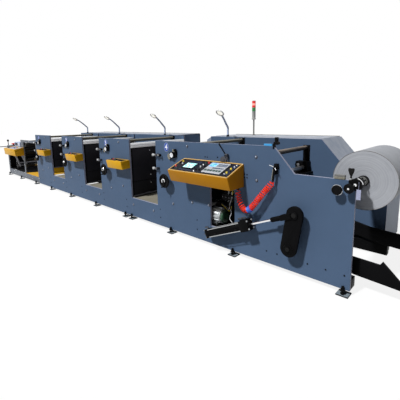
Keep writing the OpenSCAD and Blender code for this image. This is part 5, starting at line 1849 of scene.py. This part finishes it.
class PRESS_OT_casing_backs(bpy.types.Operator):
    """Gear casings with recessed doors, hinges, handles, vents and lid seams"""

    bl_idname = "press.casing_backs"
    bl_label = "Casing doors and vents"

    # How far back the frame strips begin and where the doors' outer faces lie
    STRIP, FACE = BACK - 0.0245, BACK - 0.008

    def execute(self, context):
        self.panels, self.hinges, self.cups, self.handles = [], [], [], []
        self.screws, self.vents = [], []
        body, end = BACK - 0.024, SPLIT - 0.29
        outline = [(0, FLOOR_GAP), (end, FLOOR_GAP), (end, TOP), (0, TOP)]
        build("casing_units", "wall_paint", (prism, outline, "Y", REAR_OUT, body, 0.0),
              *self.frame_strips(0, end, 6, TOP), replaces=["gear_housing_units"])
        # A thin sheet on the units' casing end in a blue lighter than the walls: painted light on
        # a face that the key light misses.
        build("casing_end_cover", "end_paint",
              (slab, (end - 0.0005, REAR_OUT + 0.014, FLOOR_GAP + 0.014),
               (end + 0.002, BACK - 0.036, TOP - 0.014)))
        slope_x, step_x = END - 0.87, END - 0.615
        outline = [(CASE_2, FLOOR_GAP), (END, FLOOR_GAP), (END, LOW_TOP - 0.086),
                   (END - 0.055, LOW_TOP - 0.086), (END - 0.055, LOW_TOP), (step_x, LOW_TOP),
                   (slope_x, TOP), (CASE_2 + 0.13, TOP), (CASE_2, TOP - 0.07)]
        corner = [(slope_x, LOW_TOP), (step_x - 0.002, LOW_TOP), (slope_x, TOP)]
        build("casing_unwind", "casing_paint",
              (prism, outline, "Y", REAR_OUT, body, 0.0),
              (prism, corner, "Y", self.STRIP, BACK, 0.0),
              (slab, (step_x - 0.04, self.STRIP, LOW_TOP - 0.02), (END - 0.056, BACK, LOW_TOP),
               0.0),
              *self.frame_strips(CASE_2, slope_x, 3, TOP - 0.07),
              *self.frame_strips(slope_x, END, 1, LOW_TOP - 0.087),
              replaces=["gear_housing_unwind"])
        build("casing_doors", "casing_paint", *self.panels, smooth=30)
        build("door_hinges", "steel", *self.hinges)
        build("handle_cups", "black_plastic", *self.cups)
        build("door_handles", "chrome", *self.handles)
        fasteners("door_screws", self.screws, cap_head(0.012, 0.003, 0.016), "steel")
        self.louvres(context.scene.press_sizes)
        self.lids(end)
        return {"FINISHED"}

    def frame_strips(self, x0, x1, doors, high):
        """The casing's back frame: posts and rails, with a door in each bay."""
        wide, deep, post, rail = (x1 - x0) / doors, self.STRIP, 0.06, 0.07
        half, lap, margin = post / 2, 0.0005, 0.064
        strips = [(slab, (x0, deep, FLOOR_GAP), (x1, BACK, FLOOR_GAP + rail), 0.0),
                  (slab, (x0, deep, high - post), (x1, BACK, high), 0.0)]
        for k in range(doors + 1):
            left = x0 + k * wide - (half if 0 < k < doors else (post if k else 0.0))
            strips += [(slab, (left, deep, FLOOR_GAP + rail - lap),
                        (left + post, BACK, high - post + lap), 0.0)]
        for k in range(doors):
            a, b = x0 + k * wide + margin, x0 + (k + 1) * wide - margin
            a, b = a - (half if k else 0), b + (half if k < doors - 1 else 0)
            self.door(a, b, FLOOR_GAP + 0.075, high - 0.065, k)
        return strips

    def door(self, x0, x1, z0, z1, k):
        face = self.FACE
        self.panels += [(block, (x0, BACK - 0.0235, z0), (x1, face, z1), 0.004)]
        hinge = x0 - 0.001 if k % 2 else x1 + 0.001
        self.hinges += [(rod, (hinge, BACK - 0.007, z - 0.04), (hinge, BACK - 0.007, z + 0.04),
                         0.006, 16) for z in (z0 + 0.15, z1 - 0.15)]
        x = x1 - 0.09 if k % 2 else x0 + 0.09
        z = (z0 + z1) / 2
        self.cups += [(slab, (x - 0.02, face - 0.002, z - 0.075),
                       (x + 0.02, face + 0.002, z + 0.075), 0.0015)]
        self.handles += [(block, (x - 0.012, face + 0.001, z - 0.06),
                          (x + 0.012, face + 0.007, z + 0.05), 0.002),
                         (rod, (x, face + 0.001, z + 0.062), (x, face + 0.0065, z + 0.062),
                          0.009, 20, 0.001)]
        self.screws += [((s, face, t), IN) for s in (x0 + 0.025, x1 - 0.025)
                        for t in (z0 + 0.025, z1 - 0.025)]
        self.vents.append(((x0 + x1) / 2, face, z1 - 0.12))

    def louvres(self, sizes):
        """Rows of pressed slats near the top of every door."""
        step, count, half = sizes.louvre_step, sizes.louvres, 0.13
        for k, (x, y, top) in enumerate(self.vents):
            outline = [(y - 0.001, 0.0), (y + 0.0065, -0.004), (y + 0.0065, -0.007),
                       (y - 0.001, -0.018)]
            slat = shape(prism, outline, "X", x - half, x + half, 0.0)
            move(slat, (0, 0, top - count * step + step))
            grown(f"door_louvres_{k + 1}", slat, "row", "casing_paint", Count=count,
                  Step=(0, 0, step))

    def lids(self, end):
        """Lids on the casing tops with a brown rear lip."""
        tops, lips = [], []
        for x0, x1, parts in ((0.01, end - 0.01, 4), (CASE_2 + 0.14, END - 0.885, 2)):
            wide = (x1 - x0) / parts
            for k in range(parts):
                a, b = x0 + k * wide + 0.004, x0 + (k + 1) * wide - 0.004
                tops += [(slab, (a, REAR_OUT + 0.1, TOP), (b, BACK - 0.03, TOP + 0.006), 0.002)]
                lips += [(slab, (a, BACK - 0.029, TOP), (b, BACK - 0.004, TOP + 0.012), 0.003)]
        build("casing_lids", "casing_paint", *tops)
        build("casing_lid_lips", "beige_bar", *lips, slot="casing_paint")


class PRESS_OT_feet(bpy.types.Operator):
    """Levelling feet with pads, screws and lock nuts"""

    bl_idname = "press.feet"
    bl_label = "Feet"

    def execute(self, context):
        front = [LEFT + 0.01, LEFT + 1.3, -0.29, 0.91, PITCH + 0.3, PITCH + 1.54, SPLIT - 0.225,
                 SPLIT - 0.017, UNIT4 + 0.32, UNIT4 + 1.55, END - 0.06]
        rows = [(x, 0.015, -0.015, 0.1) for x in front]
        rows += [(x, REAR_IN + 0.015, REAR_IN + 0.015, FLOOR_GAP) for x in front]
        rows += [(x, BACK - 0.085, BACK - 0.085, FLOOR_GAP)
                 for x in (0.2, SPLIT - 0.49, CASE_2 + 0.2, END - 0.2)]
        pads, rims, screws, nuts = [], [], [], []
        for x, pad_y, y, top in rows:
            rims += [(slab, (x - 0.06, pad_y - 0.06, 0), (x + 0.06, pad_y + 0.06, 0.0125), 0.002)]
            pads += [(slab, (x - 0.057, pad_y - 0.057, 0.012), (x + 0.057, pad_y + 0.057, 0.015),
                      0.001)]
            screws += [(slab, (x - 0.02, y - 0.02, FLOOR_GAP - 0.012),
                        (x + 0.02, pad_y + 0.015, FLOOR_GAP - 0.0005), 0.002),
                       (rod, (x, y, 0.0145), (x, y, top - 0.0005), 0.013, 20)]
            nuts.append(((x, y, 0.0155), UP))
            if top > FLOOR_GAP:
                nuts.append(((x, y, FLOOR_GAP + 0.001), UP))
        build("foot_rims", "black_steel", *rims, replaces=["front_feet", "rear_feet"])
        build("foot_pads", "foot_paint", *pads)
        build("foot_screws", "black_steel", *screws)
        nut = [(0.0135, 0), (0.021, 0), (0.0225, 0.002), (0.0225, 0.012), (0.021, 0.014),
               (0.0135, 0.014)]
        fasteners("foot_nuts", nuts, shape(lathe, (0, 0, 0), UP, nut, 6, True), "black_steel")
        return {"FINISHED"}


class PRESS_OT_rewind(bpy.types.Operator):
    """Rewind frame with its rollers, winding arms, console and handles"""

    bl_idname = "press.rewind"
    bl_label = "Rewind end"

    def execute(self, context):
        carry("rewind_frame", "frame_paint", bevel=0.003)
        # The end panel's near-black finish is painted shade for the dark inside of the rewind
        # frame.
        carry("rewind_end_panel", "lining", bevel=0.002)
        carry("rewind_rollers", "rubber", bevel=0.001, slot="steel")
        self.arms()
        self.console()
        self.knobs()
        spots = [(x, z) for x in (LEFT + 0.05, LEFT + 0.6, -1.2, -0.6, -0.03)
                 for z in (0.12, 0.2)]
        spots += [(-1.2, 0.475), (-1.2, 0.655), (-1.2, 1.1), (LEFT + 0.05, 0.5),
                  (LEFT + 0.05, 0.95), (-0.03, 0.6), (-0.03, 1.2), (-0.6, 1.245)]
        fasteners("rewind_frame_screws", on_wall(spots), cap_head(0.02, 0.01, 0.03), "steel")
        return {"FINISHED"}

    def arms(self):
        y, disc_x, disc_z = FRONT_IN + 0.06, LEFT + 0.52, 0.42
        shaft_1, shaft_2 = (LEFT + 0.9, 0.38), (LEFT + 1.4, 0.42)
        build("winding_arms", "dark_steel",
              (prism, self.bar((LEFT + 0.26, 0.83), shaft_1, 0.034), "Y", y, y + 0.026),
              (prism, self.bar((LEFT + 0.7, 0.85), shaft_2, 0.03), "Y", y + 0.07, y + 0.096),
              replaces=["rewind_arms"])
        build("winding_shafts", "dark_steel",
              *((rod, (x, start, z), (x, REAR_IN, z), r, sides) for (x, z), start, r, sides in (
                  (shaft_1, y + 0.026, 0.022, 28), (shaft_2, y + 0.096, 0.022, 28),
                  ((disc_x, disc_z), y + 0.06, 0.04, 36))))
        build("winding_disc", "black_steel",
              (ring, (disc_x, y + 0.03, disc_z), IN, 0.05, 0.15, 0.03, 64, 0.002),
              (rod, (disc_x, y + 0.02, disc_z), (disc_x, y + 0.061, disc_z), 0.055, 40))
        build("rewind_roller_sleeves", "beige_bar",
              *((ring, (-1.195, FRONT_IN + 0.25, z), IN, 0.039, 0.042, 0.8, 40)
                for z in (0.475, 0.655)))
        build("rewind_belly_plate", "black_steel",
              (slab, (LEFT + 0.013, FRONT_IN + 0.001, 0.235), (-1.16, REAR_IN - 0.001, 0.243)))
        spots = [((disc_x + dx, y + 0.03, disc_z + dz), OUT) for dx, dz in circle(0.1, 8)]
        fasteners("winding_disc_screws", spots, cap_head(0.016, 0.008), "steel")

    def bar(self, a, b, r):
        """The outline of a flat bar with round ends between two points in X and Z."""
        way = math.atan2(b[1] - a[1], b[0] - a[0])
        return [(x + r * math.cos(start + k * math.pi / 12),
                 z + r * math.sin(start + k * math.pi / 12))
                for (x, z), start in ((b, way - math.pi / 2), (a, way + math.pi / 2))
                for k in range(13)]

    def console(self):
        x0, x1 = -2.3, -1.15
        build("rewind_console_case", "yellow_paint",
              (prism, [(0, 1.045), (-0.265, 1.0), (-0.245, 0.793), (0, 0.793)], "X", x0, x1,
               0.006, None, 2), replaces=["rewind_console"], slot="console_paint")
        face = tilted((x0, -0.265, 1.0), math.degrees(math.atan2(0.045, 0.265)), "X")
        for name, material, low, high in (
                ("rewind_panel", "key_grey", (0.03, 0.03, 0), (1.12, 0.24, 0.004)),
                ("rewind_panel_blue", "badge_blue", (0.55, 0.06, 0.004), (0.75, 0.21, 0.007)),
                ("rewind_panel_dark", "dark_panel", (0.08, 0.05, 0.004), (0.35, 0.22, 0.007))):
            build(name, material, (slab, low, high, 0.0015, face))
        up = upright(face)
        button = [(0, 0), (0.018, 0), (0.018, 0.006), (0.014, 0.009), (0.014, 0.02),
                  (0.01, 0.023), (0, 0.023)]
        for name, material, spots in (
                ("rewind_buttons", "black_plastic", ((0.13, 0.1), (0.19, 0.1), (0.25, 0.1),
                                                     (0.13, 0.17), (0.82, 0.1), (0.88, 0.1))),
                ("rewind_stops", "knob_red", ((0.25, 0.17), (0.98, 0.13))),
                ("rewind_starts", "knob_yellow", ((0.19, 0.17), (0.88, 0.17)))):
            build(name, material, *((lathe, face @ Vector((u, v, 0.003)), up, button, 20)
                                    for u, v in spots))

    def knobs(self):
        """Winding shaft handle, upright knob, stop button and the display box."""
        x, knob_x, stop_x, y = LEFT + 0.06, LEFT + 0.11, -2.2, FRONT_IN / 2
        build("rewind_stems", "dark_steel",
              (rod, (x, -0.29, 1.01), (x, 0, 1.01), 0.013, 20),
              (rod, (knob_x, y, 1.05), (knob_x, y, 1.18), 0.012, 20),
              (rod, (stop_x, y, 1.05), (stop_x, y, 1.095), 0.012, 20),
              replaces=["rewind_knobs"])
        build("rewind_grips", "black_plastic",
              (lathe, (x, -0.29, 1.01), OUT,
               [(0, 0), (0.02, 0), (0.03, 0.006), (0.032, 0.014), (0.032, 0.03), (0.026, 0.038),
                (0, 0.04)], 28),
              (lathe, (knob_x, y, 1.18), UP,
               [(0, 0), (0.018, 0), (0.03, 0.014), (0.03, 0.052), (0.02, 0.066), (0, 0.07)],
               28), smooth=45)
        build("rewind_stop_button", "knob_red",
              (lathe, (stop_x, y, 1.09), UP,
               [(0, 0), (0.03, 0), (0.04, 0.02), (0.068, 0.03), (0.07, 0.042), (0.055, 0.056),
                (0, 0.06)], 40), smooth=45)
        build("rewind_box", "lamp_metal",
              (block, (-2.05, 0.0, 1.05), (-1.48, 0.16, 1.195), 0.004),
              slot="wall_paint")
        build("rewind_box_window", "dark_panel",
              (slab, (-1.98, -0.002, 1.085), (-1.72, 0.002, 1.17), 0.0008))
        build("rewind_box_label", "white_plastic",
              (slab, (-1.68, -0.0015, 1.09), (-1.54, 0.002, 1.165), 0.0008))


STEPS = (
    PRESS_OT_stage, PRESS_OT_air_hose, PRESS_OT_walls, PRESS_OT_wall_bolts, PRESS_OT_badges,
    PRESS_OT_rollers, PRESS_OT_window_covers, PRESS_OT_handwheels, PRESS_OT_dials,
    PRESS_OT_clamp_screws, PRESS_OT_control_boxes, PRESS_OT_console, PRESS_OT_motor,
    PRESS_OT_lift_linkage, PRESS_OT_paper_roll, PRESS_OT_unwind_fittings, PRESS_OT_lamps,
    PRESS_OT_signal_tower, PRESS_OT_brake, PRESS_OT_edge_fittings, PRESS_OT_casing_backs,
    PRESS_OT_feet, PRESS_OT_rewind,
)
SETTINGS = {"press_colours": PressColours, "press_sizes": PressSizes,
            "press_stage": StageSettings}


class PRESS_PT_panel(bpy.types.Panel):
    """The press's pieces, in the order in which they are made"""

    bl_idname = "PRESS_PT_panel"
    bl_label = "Printing press"
    bl_space_type = "VIEW_3D"
    bl_region_type = "UI"
    bl_category = "Press"

    def draw(self, context):
        for name, settings in SETTINGS.items():
            box = self.layout.box()
            for key in settings.__annotations__:
                box.prop(getattr(context.scene, name), key)
        for step in STEPS:
            self.layout.operator(step.bl_idname)


CLASSES = (*SETTINGS.values(), *STEPS, PRESS_PT_panel)


def register():
    for cls in CLASSES:
        bpy.utils.register_class(cls)
    for name, settings in SETTINGS.items():
        setattr(bpy.types.Scene, name, PointerProperty(type=settings))


def unregister():
    for name in SETTINGS:
        delattr(bpy.types.Scene, name)
    for cls in reversed(CLASSES):
        bpy.utils.unregister_class(cls)


def main():
    register()
    for step in STEPS:
        family, name = step.bl_idname.split(".")
        getattr(getattr(bpy.ops, family), name)()


if __name__ == "__main__":
    main()
